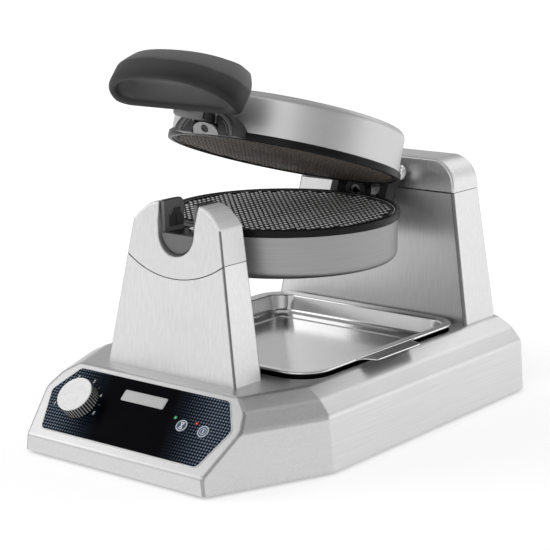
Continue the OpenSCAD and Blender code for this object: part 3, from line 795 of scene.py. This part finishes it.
def seam_arc(radius):
    """Points of the round seam from the left side of the front tower to the right side."""
    low, high = 140.0, 200.0
    for _ in range(40):
        z = (low + high) / 2
        inside = hypot(ft_half(z), z - SEAM_MID_Z) > radius
        low, high = (z, high) if inside else (low, z)
    end = asin(ft_half(z) / radius)
    return arc(radius, -QUARTER - end, end - QUARTER, 40, 0, SEAM_MID_Z)


def front_tower():
    seam = seam_arc(SEAM_R + SEAM_GAP)
    outline = [Vector((-FT_FOOT_HW, DECK_Z)), Vector((FT_FOOT_HW, DECK_Z))] + seam[::-1]
    radii = [0.0, 2.6] + [0.5] * (len(seam) - 1) + [2.6]
    skin = piece("front_tower_skin", lean(upright(outline, radii), FT_FRONT, FT_REAR),
                 "brushed_steel", "base", "front_tower_cover", sharp=28)
    # painted shade on the rounded front corners
    paint_corner_shade(skin, 200)

    seam = seam_arc(SEAM_R)
    prong = [(47.72, 194), (43.1, 199.4), (36.3, 205.3), (31.5, 208.4), (26, 210.2), (21.57, 210.5)]
    right = fillet([seam[-1]] + prong + [(NOTCH_R, AXIS_Z)], [0, 5, 8, 8, 8, 8, 1.5, 0], 4, False)
    notch = arc(NOTCH_R, 0, -pi, 32, 0, AXIS_Z)
    left = [Vector((-p.x, p.y)) for p in right[::-1]]
    outline = seam[:-1] + right[:-1] + notch + left[1:-1]
    radii = [0.5] * (len(seam) - 1) + [2.4] * (len(right) - 6) + [1.6] * (len(notch) + 9)
    radii += [2.4] * (len(outline) - len(radii))
    bm = upright(outline, radii)
    large = [face for face in bm.faces if len(face.verts) > 4]
    bmesh.ops.triangulate(bm, faces=large, ngon_method="EAR_CLIP")
    bmesh.ops.bisect_plane(bm, geom=bm.verts[:] + bm.edges[:] + bm.faces[:], dist=1e-4,
                           plane_co=(0, 0, FT_BEND_Z), plane_no=(0, 0, 1))
    head = piece("front_tower_head", lean(bm, FT_FRONT, FT_REAR), "head_steel", "base",
                 "front_tower_cap", sharp=28, slot="brushed_steel")
    # painted shade on the rounded front corners
    paint_corner_shade(head, 197)
    # the prongs' upward facets take the lighter copy of the steel: painted light
    second_finish(head, "painted_light_top_steel", lambda face: face.normal.z > 0.3 and abs(face.center.x) > 22 * MM)


RT_FRONT = [(67.9, 153.7), (188.4, 161.7), (218, 165.5)]
RT_REAR = [(67.9, 206.5), (218, 206.5)]
BORE_R = 12


def rear_tower():
    skin = [Vector(p) for p in ((-109.3, DECK_Z), (109.3, DECK_Z), (88.6, 187.9), (-88.6, 187.9))]
    right = [Vector((88.5, 188.4))] + arc(26.5, 0, QUARTER, 14, 62, 189.5, 28.5)
    head = right + [Vector((-p.x, p.y)) for p in right[::-1]]
    for name, outline, radii, cad in (
        ("rear_tower_skin", skin, [0, 2.6, 0.5, 2.6], "rear_tower_cover"),
        ("rear_tower_head", head, [2.2] * (len(head) - 1) + [0.5], "rear_tower_cap"),
    ):
        obj = new_piece(name, lean(upright(outline, radii), RT_FRONT, RT_REAR))
        bore = slab(circle(BORE_R, 48), 0, 25)
        cut(obj, moved(bore, place(0, 150, AXIS_Z) @ about("X", -90)))
        dress(obj, "brushed_steel", "base", cad, sharp=28)
        if cad == "rear_tower_cover":
            # painted shade on the rounded front corners
            paint_corner_shade(obj, 190)


# ---- baking plates

HINGE = Vector((0, 152, 203.9))
LID_OPEN = 18.5
OPENED = Matrix.Translation(HINGE) @ about("X", -LID_OPEN) @ Matrix.Translation(-HINGE)
# Where a part made round the origin, its pressing face up, belongs in each half
LOWER_HALF = place(0, PLATE_Y, AXIS_Z)
UPPER_HALF = OPENED @ LOWER_HALF @ about("X", 180) @ about("Z", 180)


def bowl_profile():
    """Half section of a plate's steel cover, z measured from the axis plane."""
    r, low, high, wall = 101.6, -43.4, -7.0, 1.6
    outer = fillet([(0.01, low + 0.5), (40, low + 0.2), (r, low), (r, high)], [0, 0, 7, 0], 12, False)
    return outer + [(r - wall, high), (r - wall, low + 9), (r - 9, low + wall), (0.01, low + wall + 0.5)]


PAD_ALONG = Vector((0.15, 5.93))
PAD_ACROSS = Vector((7.37, -1.66))
PAD_TOWARDS = Vector((0.857, -0.516))
PAD_LONG, PAD_WIDE = 6.2, 3.2
PAD_ROWS = 40
GRID_R, PADS_R = 99.6, 96.8
PAD_FOOT_Z, PAD_TOP_Z = -2.9, -1.2
# Shares of half a pad's length and width, at its eight corners
PAD_CORNERS = ((-1, -0.35), (-0.7, -1), (0.7, -1), (1, -0.35), (1, 0.35), (0.7, 1), (-0.7, 1), (-1, 0.35))


def grid_shape():
    """The iron: a round plate whose face carries slanting rows of small raised pads."""
    profile = [(0.01, -14), (88, -14), (88, -10.2), (GRID_R, -10.2), (GRID_R, -1.9),
               (GRID_R - 0.5, -1.2), (98.4, -1.2), (97.6, PAD_FOOT_Z), (0.01, PAD_FOOT_Z)]
    bm = lathe(profile, 128, False)
    wide = Vector((-PAD_TOWARDS.y, PAD_TOWARDS.x))
    for i in range(-PAD_ROWS, PAD_ROWS + 1):
        for j in range(-PAD_ROWS, PAD_ROWS + 1):
            middle = PAD_ALONG * i + PAD_ACROSS * j
            if middle.length > PADS_R - PAD_LONG / 2:
                continue
            rings = []
            for grow, z in ((0, PAD_FOOT_Z - 0.02), (-0.45, PAD_TOP_Z - 0.3), (-0.75, PAD_TOP_Z)):
                half_l, half_w = PAD_LONG / 2 + grow, PAD_WIDE / 2 + grow * 0.8
                rings.append(ring_at([middle + PAD_TOWARDS * (cl * half_l) + wide * (cw * half_w)
                                      for cl, cw in PAD_CORNERS], z))
            loft(rings, False, bm)
    return bm


def plate_half(prefix, body, pan_steel, iron, pad, at):
    pan = lathe(bowl_profile(), 160, False)
    piece(prefix + "_pan", pan, pan_steel, body, prefix + "_bowl", at=at, sharp=35, slot="brushed_steel")
    profile = fillet([(99.9, -6.9), (104.07, -6.9), (104.07, -0.2), (99.9, -0.2)],
                     [0.3, 1.2, 1.2, 0.3], 4)
    piece(prefix + "_band", lathe(profile, 160), "rim_casting", body, prefix + "_rim", at=at,
          sharp=35, slot="dark_casting")
    grid = piece(prefix + "_iron", grid_shape(), iron, body, prefix + "_grid", at=at, sharp=20,
                 weighted=False, slot="grid_black")
    verts = grid.data.vertices
    # pad tops take the pad finish; on the lower iron this is a near-white painted highlight
    second_finish(grid, pad,
                  lambda face: min(verts[v].co.z for v in face.vertices) > (PAD_TOP_Z - 0.4) * MM)


# ---- controls

KNOB_AT = (-60.0, 40.0)
KNOB_R = 16.6
KNOB_RIBS = 40
RIB_STEPS = 8


def knob():
    """Ribbed black skirt with a flat white cap. The tops of the ribs are light grey: a painted highlight."""
    rings = []
    for radius, z, rib in ((15.4, 1.8, 0.0), (KNOB_R - 0.1, 2.0, 0.3), (KNOB_R, 2.6, 0.75),
                           (KNOB_R - 0.3, 11.6, 0.75), (KNOB_R - 0.7, 12.3, 0.4), (15.6, 12.6, 0.0)):
        ring = []
        for a in spread(0, 2 * pi, KNOB_RIBS * RIB_STEPS)[:-1]:
            r = radius - rib * max(0.0, cos(KNOB_RIBS * a)) ** 0.6
            ring.append(Vector((r * cos(a), r * sin(a), z)))
        rings.append(ring)
    at = SLOPE @ place(*KNOB_AT)
    skirt = piece("knob_skirt", loft(rings), "knob_black", "knob", "thermostat_knob", at=at,
                  sharp=50)

    def on_rib(face):
        turn = atan2(face.center.y, face.center.x)
        return len(face.vertices) == 4 and cos(KNOB_RIBS * turn) < -0.5

    # rib tops in light grey: painted highlight
    second_finish(skirt, "knob_rib_painted_highlight", on_rib)
    profile = fillet([(0.01, 12.5), (16.2, 12.5), (16.2, 14.0), (14.9, 14.0), (14.6, 13.8), (0.01, 13.8)],
                     [0, 0.3, 0.5, 0.2, 0.2, 0], 4, False)
    piece("knob_face", lathe(profile, 96, False), "knob_white", "knob", "knob_cap", at=at,
          sharp=50)


def keys():
    """Two push keys, each with a silver ring, a blue-grey face and a white sign."""
    for body, cad, x, y in KEYS:
        at = SLOPE @ place(x, y)
        face = lathe([(0.01, 0.95), (5.2, 0.95), (5.2, 1.55), (4.5, 1.7), (0.01, 1.7)], 64, False)
        piece(body + "_face", face, "key_blue", body, cad, at=at, slot="black_plastic")
        ring, sign = flat_ring(5.25, 4.45, 1.2, 2.0), bmesh.new()
        if body == "start_key":
            for line, width, top in (([(-1.6, 2.9), (1.6, 2.9)], 0.6, 1.85),
                                     ([(-1.6, -2.9), (1.6, -2.9)], 0.6, 1.85),
                                     ([(-1.35, 2.6), (1.35, -2.6)], 0.75, 1.84),
                                     ([(1.35, 2.6), (-1.35, -2.6)], 0.75, 1.83)):
                strip(sign, line, width, 1.6, top)
        else:
            flat_ring(3.1, 2.55, 1.6, 1.85, 0.05, bm=ring)
            strip(sign, [(0, 1.2), (0, -1.2)], 1.0, 1.6, 1.85)
        piece(body + "_ring", ring, "key_silver", body, at=at, slot="polished_steel")
        piece(body + "_sign", sign, "print_white", body, at=at, slot="knob_white")


LENS_R = 1.35


def lamps():
    for cad, x, y, glow in (("start_lamp", 40.8, 46.5, "lens_green"),
                            ("standby_lamp", 63.9, 45.8, "lens_red")):
        at = SLOPE @ place(x, y)
        dome = arc(LENS_R, 0, QUARTER, 5, 0, 0.6, 0.75)[:-1]
        lens = lathe([(0.01, 0.1), (LENS_R, 0.1)] + dome + [(0.01, 1.35)], 24, False)
        piece(cad + "_lens", lens, glow, "base", cad, at=at, sharp=60)
        collar = flat_ring(1.7, LENS_R, 0.6, 1.05, 0.1, 24)
        piece(cad + "_collar", collar, "panel_black", "base", at=at)


# Strokes of the dial's digits, in a unit box
DIGITS = {
    "1": [(-0.2, 0.3), (0.1, 0.5), (0.1, -0.5)],
    "2": [(-0.3, 0.35), (0, 0.5), (0.3, 0.25), (-0.3, -0.5), (0.35, -0.5)],
    "3": [(-0.3, 0.5), (0.3, 0.5), (0, 0.1), (0.3, -0.15), (0.2, -0.5), (-0.3, -0.45)],
    "4": [(0.2, -0.5), (0.2, 0.5), (-0.35, -0.15), (0.4, -0.15)],
    "5": [(0.3, 0.5), (-0.2, 0.5), (-0.25, 0.05), (0.2, 0.1), (0.3, -0.3), (-0.3, -0.5)],
}
DIAL = (("1", -87.0, 33.3), ("2", -79.1, 62.6), ("3", -60.3, 61.6), ("4", -44.9, 50.2), ("5", -41.4, 33.2))
DIGIT_WIDE, DIGIT_TALL = 2.1, 2.6
TICKS = ((-51.4, 56.4), (-41.1, 41.5))
TICK_HALF = 1.1


def dial():
    digits, ticks = bmesh.new(), bmesh.new()
    for sign, x, y in DIAL:
        strip(digits, [(x + DIGIT_WIDE * px, y + DIGIT_TALL * py) for px, py in DIGITS[sign]], 0.55, 0.8, 1.0)
    piece("dial_digits", digits, "print_white", "base", at=SLOPE, sharp=30, slot="knob_white")
    for tick in TICKS:
        at = Vector(tick)
        out = (at - Vector(KNOB_AT)).normalized() * TICK_HALF
        strip(ticks, [at - out, at + out], 0.35, 0.8, 0.98)
    piece("dial_ticks", ticks, "print_grey", "base", at=SLOPE, sharp=30, slot="knob_white")


def blank_badge():
    """A plain silver plate where the maker's sign would be."""
    outline = round_rect((-23, 24, 50.5, 61), 0, 1.6, 4)
    bm = slab(outline, 0.6, 1.15, top=0.2, steps=2)
    slab(offset(outline, 1.1), 1.0, 1.35, top=0.2, steps=2, bm=bm)
    piece("blank_badge", bm, "badge_silver", "base", at=SLOPE, sharp=30, slot="polished_steel")


# ---- drip tray and feet

TRAY = (-109.0, 109.0, -85.0, 150.0)
TRAY_CORNER = 30.0


def tray_ring(inset, z):
    return ring_at(round_rect(TRAY, -inset, max(4.0, TRAY_CORNER - inset), 12), z)


def drip_tray():
    """A pressed tray: rolled lip, flat rim, sloping walls, a step round a raised floor panel."""
    under = [(55, 53.2), (12, 53.2), (10.5, 56), (8.9, 71.6), (2.4, 72.3)]
    lip = arc(1.0, radians(240), QUARTER, 6, 1.0, 72.9)
    top = fillet([(2.0, 73.4), (9.5, 73.4), (12.5, 56.6), (25, 55.2), (27, 54.2), (58, 54.2)],
                 [0, 2.2, 4.5, 1.2, 1.2, 0], 5, False)
    rings = [tray_ring(inset, z) for inset, z in under + lip + top[1:]]
    piece("tray_pressing", loft(rings), "tray_steel", "tray", "drip_tray",
          slot="polished_steel")
    shoulder = fillet([(104, -20), (108.4, -20), (112, -12), (123.9, -8), (123.9, 58), (112, 62),
                       (108.4, 70), (104, 70)], [0, 5, 5, 4, 4, 5, 5, 0], 5)
    piece("tray_tab", slab(shoulder, 72.75, 73.5, top=0.35, bottom=0.35, steps=3),
          "tray_tab_steel", "tray", slot="polished_steel")
    edge = [Vector((p.x, p.y, 73.35)) for p in offset(shoulder, 0.4) if p.x > 108.2]
    piece("tray_tab_edge", sweep(edge, 0.62, 10), "tray_steel", "tray", sharp=60, slot="polished_steel")


def feet():
    profile = [(3.2, 0.9), (3.4, 0.1), (9.6, 0.0), (10.6, 0.5), (11.9, 3.0), (3.0, 3.0)]
    bm = bmesh.new()
    for x in (-108, 108):
        for y in (-78, 184):
            add(bm, moved(lathe(profile, 40), place(x, y)))
    piece("feet", bm, "rubber", "base", "rubber_feet", sharp=45)


# ---- handle

LOOP = OPENED @ place(0, -127.4, 218) @ about("X", -20)
LOOP_HW, LOOP_FRONT, LOOP_REAR, LOOP_HALF = 68.7, 38.1, 9.5, 18.0
LOOP_POWER = 0.897
LOOP_RIDGE = 1.9
LOOP_CORNER = 15.0
LOOP_SHIFT = 6.0
LOOP_EDGE = 5.5
LOOP_FRONT_LIFT = 3.5
LOOP_AROUND = 160
LOOP_INSIDE_FROM = 18  # first row of the cross section that faces the opening


def loop_point(angle, side, front, rear):
    """A point of the band's outline: a flat back with round corners, and a bowed front."""
    c, s = cos(angle), sin(angle)
    shift = LOOP_SHIFT * min(1.0, max(0.0, (rear - 3.6) / 2.1))
    if s < 0:
        x = (LOOP_HW - side) * copysign(abs(c) ** LOOP_POWER, c)
        return x, -shift - (LOOP_FRONT - front - shift) * abs(s) ** LOOP_POWER
    share = min(angle, pi - angle) / QUARTER
    turn = min(1.0, share / 0.6) * QUARTER
    straight = max(0.0, (share - 0.6) / 0.4)
    x = (LOOP_HW - side - LOOP_CORNER) * (1 - straight) + LOOP_CORNER * cos(turn)
    return copysign(x, c), -shift + (LOOP_REAR - rear + shift) * sin(turn)


def loop_sections():
    """The band's cross section as rows of (height, side, front, rear inset), outside then inside."""
    rows = []
    for a in spread(0, QUARTER, 8):
        share = 1 - sin(a)
        rows.append((-LOOP_HALF + LOOP_EDGE * (1 - cos(a)), 3.2 * share, 4.2 * share, 3.0 * share))
    rows += [(-6, 0, 0, 0), (LOOP_RIDGE - 1.2, 0.15, 0, 0), (LOOP_RIDGE + 1.2, 0.5, 0.55, 0.15),
             (LOOP_RIDGE + 4.5, 1.3, 2.8, 0.6), (LOOP_RIDGE + 8, 2.7, 5.0, 1.1),
             (LOOP_RIDGE + 11.5, 4.7, 7.3, 1.7), (LOOP_HALF - 1.5, 6.6, 9.4, 2.3),
             (LOOP_HALF - 0.4, 7.5, 10.5, 2.7), (LOOP_HALF, 8.4, 11.6, 3.6),
             (LOOP_HALF, 9.4, 14.4, 6.0), (LOOP_HALF - 0.5, 10.4, 15.5, 6.8),
             (LOOP_HALF - 1.6, 10.3, 15.3, 6.9), (LOOP_RIDGE + 1.5, 5.9, 9.3, 5.8),
             (LOOP_RIDGE - 1.5, 5.5, 8.8, 5.7)]
    for a in spread(0, QUARTER, 6)[:-1]:
        share = cos(a)
        rows.append((-LOOP_HALF + LOOP_EDGE * (1 - sin(a)), 3.2 + 8.8 * share, 4.2 + 5.0 * share,
                     3.0 + 4.6 * share))
    return rows


def handle_band():
    """The loop, whose points carry how far they face the opening, and the boss that holds it."""
    bm = bmesh.new()
    sections = loop_sections()
    count = len(sections)
    rows = []
    for k in range(LOOP_AROUND):
        a = 2 * pi * (k + 0.5) / LOOP_AROUND
        row = []
        for height, side, front, rear in sections:
            x, y = loop_point(a, side, front, rear)
            low = max(0.0, (LOOP_RIDGE - height) / (LOOP_RIDGE + LOOP_HALF))
            lift = LOOP_FRONT_LIFT * low * max(0.0, -sin(a)) ** 1.5
            row.append(bm.verts.new((x, y, height + lift)))
        rows.append(row)
    for here, there in zip(rows, rows[1:] + rows[:1]):
        for i in range(count):
            j = (i + 1) % count
            bm.faces.new((here[i], there[i], there[j], here[j]))
    band = settle(new_piece("handle_band", bm), LOOP)
    # these shares pick the lighter ramp of the grip's material for the faces towards the opening: painted
    # light
    shares = [min(1.0, max(0.0, (i - LOOP_INSIDE_FROM) / 3), max(0.0, (count - 4 - i) / 3))
              for i in range(count)]
    inside = band.data.attributes.new("inside", "FLOAT", "POINT")
    inside.data.foreach_set("value", shares * LOOP_AROUND)
    dress(band, "handle_grey", "lid", "handle_loop", sharp=70, weighted=False)
    profile = fillet([(0.01, 195.6), (12.4, 195.6), (12.4, 204.4), (0.01, 204.4)], [0, 2.0, 1.2, 0], 4, False)
    boss = moved(lathe(profile, 64, False), place(0, -115.5))
    slab(round_rect((-9, 9, -123, -111), 0, 3, 4), 202, 213.9, top=0.6, bm=boss)
    piece("handle_boss", boss, "handle_grey", "lid", at=OPENED)


# ---- neck, cradle and hinge


def small_parts():
    """Small parts built up from their CAD forms, with every edge broken."""
    for name, cad, body, material, width in (
        ("lower_neck_bell", "lower_collar", "rotor", "dark_casting", 0.8),
        ("lower_neck_shaft", "lower_journal", "rotor", "journal_grey", 0.4),
        ("lower_neck_pin", "lower_neck_screw", "rotor", "polished_steel", 0.25),
        ("upper_neck_bell", "upper_collar", "lid", "bell_casting", 0.9),
        ("handle_stem", "handle_arm", "lid", "dark_casting", 0.7),
        ("hinge_block", "lower_hinge_bracket", "rotor", "grid_black", 0.7),
        ("hinge_arms", "upper_hinge_bracket", "lid", "grid_black", 0.7),
    ):
        obj = node_copy(name, cad)
        modify(obj, "BEVEL", width=width * MM, segments=3, limit_method="ANGLE", angle_limit=radians(30),
               miter_outer="MITER_ARC", use_clamp_overlap=True)
        slot = material if material == "polished_steel" else "dark_casting"
        dress(obj, material, body, cad, sharp=42, slot=slot)
        if cad == "lower_journal":
            second_finish(obj, "grid_black", looks_up)


ALONG_X = Matrix(((0, 0, 1, 0), (1, 0, 0, 0), (0, 1, 0, 0), (0, 0, 0, 1)))
FACING_FRONT = place(0, 0, AXIS_Z) @ about("X", 90)  # stands a slab upright, its height towards the front
CRADLE_IN, CRADLE_OUT, CRADLE_TOP = 16.0, 19.4, 211.8
CRADLE_FRONT, CRADLE_REAR = -117.2, -92.6
# Outlines in Y and Z on the left wall of the cradle
LATCH_CASE = ((-111, 188.5), (-95, 188.5), (-95, 196), (-98, 199.5), (-98.5, 203), (-106, 203.5),
              (-111, 199))
LATCH_HOOK = ((-104, 190.5), (-96.2, 190.5), (-96.2, 194.5), (-100, 197), (-104, 198))
LATCH_TOP = ((-111, 198.7), (-106, 203.6), (-98.2, 203.3), (-98.3, 204.0), (-106.2, 204.4),
             (-111.6, 198.8))
LATCH = (  # name, outline, X from and to, material, CAD nodes
    ("cradle_latch", LATCH_CASE, -16.2, -14.8, "grid_black", ("latch_keeper",)),
    ("cradle_latch_hook", LATCH_HOOK, -15.0, -13.9, "black_plastic", ()),
    ("cradle_latch_edge", LATCH_TOP, -16.2, -14.8, "journal_grey", ()),
)


def cradle():
    """U-shaped lining of the front tower's notch, the latch on its left wall, and the journal's flange."""
    rings = []
    for start, step, radius in ((CRADLE_FRONT, 1, 2.0), (CRADLE_REAR, -1, 5.0)):
        for a in spread(0, QUARTER, 6)[::step]:
            y = start + step * radius * (1 - cos(a))
            top = CRADLE_TOP - radius * (1 - sin(a))
            outer = arc(CRADLE_OUT, pi, 2 * pi, 32, 0, AXIS_Z)
            inner = arc(CRADLE_IN, 2 * pi, pi, 32, 0, AXIS_Z)
            tips = [(CRADLE_OUT + 0.4, top - 0.6), (CRADLE_OUT - 0.4, top), (CRADLE_IN + 0.9, top),
                    (CRADLE_IN + 0.3, top - 0.6)]
            shape = outer + tips + inner + [(-x, z) for x, z in tips[::-1]]
            rings.append([Vector((x, y, z)) for x, z in shape])
    bm = loft(rings)
    bmesh.ops.triangulate(bm, faces=[f for f in bm.faces if len(f.verts) > 4], ngon_method="EAR_CLIP")
    lining = piece("cradle_lining", bm, "liner_grey", "base", "journal_cradle", sharp=35)
    second_finish(lining, "dark_casting", lambda face: face.normal.z > 0.5)
    for name, outline, x_from, x_to, material, nodes in LATCH:
        bm = slab([Vector(p) for p in outline], x_from, x_to, top=0.4, steps=3)
        piece(name, moved(bm, ALONG_X), material, "base", *nodes, sharp=35, slot="black_plastic")
    half = arc(17.7, 0.09 - pi, -0.09, 40)
    flange = piece("lower_neck_flange",
                   moved(slab(half, 117.4, 119.6, top=0.5, steps=3), FACING_FRONT),
                   "journal_grey", "rotor", sharp=35, slot="dark_casting")
    second_finish(flange, "grid_black", looks_up)
    washer = moved(flat_ring(5.7, 2.3, 184.6, 186.6, 0.4), place(0, -96.5))
    piece("lower_neck_washer", washer, "polished_steel", "rotor")


NECK = OPENED @ place(0, -87, AXIS_Z + 1.2) @ about("X", 128)
# Half outlines in X and in height over the axis plane
CHEEK = ((25.5, 0.4), (20.5, 8.0), (13.5, 17.0), (9.5, 17.0), (12.8, 9.0), (14.6, 0.4))
SHIM = ((12.6, 9.6), (11.0, 19.0), (10.2, 19.0), (11.8, 9.6))


def neck():
    """Silver half-disc with its socket screw, cheeks and shims beside it, and the bell's raised bands."""
    plate = [Vector((13.8 * cos(a), 11.4 * sin(a) ** 0.8)) for a in spread(0, pi, 28)]
    piece("neck_face", slab(plate, 0.05, 1.8, top=0.35, steps=3), "neck_silver", "lid",
          "neck_plate", at=NECK, slot="polished_steel")
    profile = [(0.01, 1.9), (1.5, 1.9), (1.7, 2.5), (3.2, 2.5), (3.6, 2.1), (3.6, 1.0), (0.01, 1.0)]
    piece("neck_face_screw", moved(lathe(profile, 32), place(0, 5.4)), "grid_black", "lid",
          "neck_screw", at=NECK, slot="black_screw")
    for name, half, low, high, edge, material in (
        ("neck_cheeks", CHEEK, 86.0, 91.2, 0.6, "dark_casting"),
        ("neck_shims", SHIM, 91.0, 94.0, 0.2, "polished_steel"),
    ):
        bm = bmesh.new()
        for side in (1, -1):
            slab([Vector((side * x, y)) for x, y in half][::side], low, high, top=edge, steps=3, bm=bm)
        piece(name, moved(bm, FACING_FRONT), material, "lid", at=OPENED, sharp=30)
    for name, across, up, thick, y in (("bell_band", 28.2, 19.2, 1.5, -90.2),
                                       ("bell_lip", 23.8, 16.8, 0.7, -90.3)):
        line = arc(across, 0.03, pi - 0.03, 40, 0, AXIS_Z + 0.6, up)
        path = [Vector((x, y, z)) for x, z in line]
        piece(name, sweep(path, thick, 12), "bell_band", "lid", at=OPENED, sharp=60, slot="dark_casting")


CAP_R, CAP_FROM, CAP_TOP = 7.4, 37.0, 4.0


def hinge_pin():
    """Polished pin with a domed cap at each end."""
    dome = arc(CAP_R, 0, QUARTER, 8, 0, CAP_FROM, CAP_TOP)[:-1]
    profile = [(0.01, 0), (5.5, 0), (5.5, 33), (6.9, 33), (CAP_R, 33.5)] + dome
    profile += [(0.01, CAP_FROM + CAP_TOP)]
    bm = bmesh.new()
    for turn in (90, -90):
        add(bm, moved(lathe(profile, 48, False), place(*HINGE) @ about("Y", turn)))
    piece("hinge_pin_domed", bm, "pin_chrome", "rotor", "hinge_pin", slot="polished_steel")


make_camera()
make_light()
make_floor()
for part in frame["record"]["subparts"]:
    cad_mesh = frame["nodes"][part["node"]].data
    cad_mesh.materials.clear()
    cad_mesh.materials.append(MATERIALS[part["material_slot"]])
base_skin()
control_panel()
front_tower()
rear_tower()
knob()
keys()
lamps()
dial()
blank_badge()
drip_tray()
feet()
handle_band()
small_parts()
cradle()
neck()
hinge_pin()
# the lower pan takes the darker copy of the spun steel: painted shade
plate_half("lower", "rotor", "painted_shade_spun_steel", "grid_black", "pad_painted_highlight", LOWER_HALF)
plate_half("upper", "lid", "spun_steel", "grid_worn", "pad_warm", UPPER_HALF)
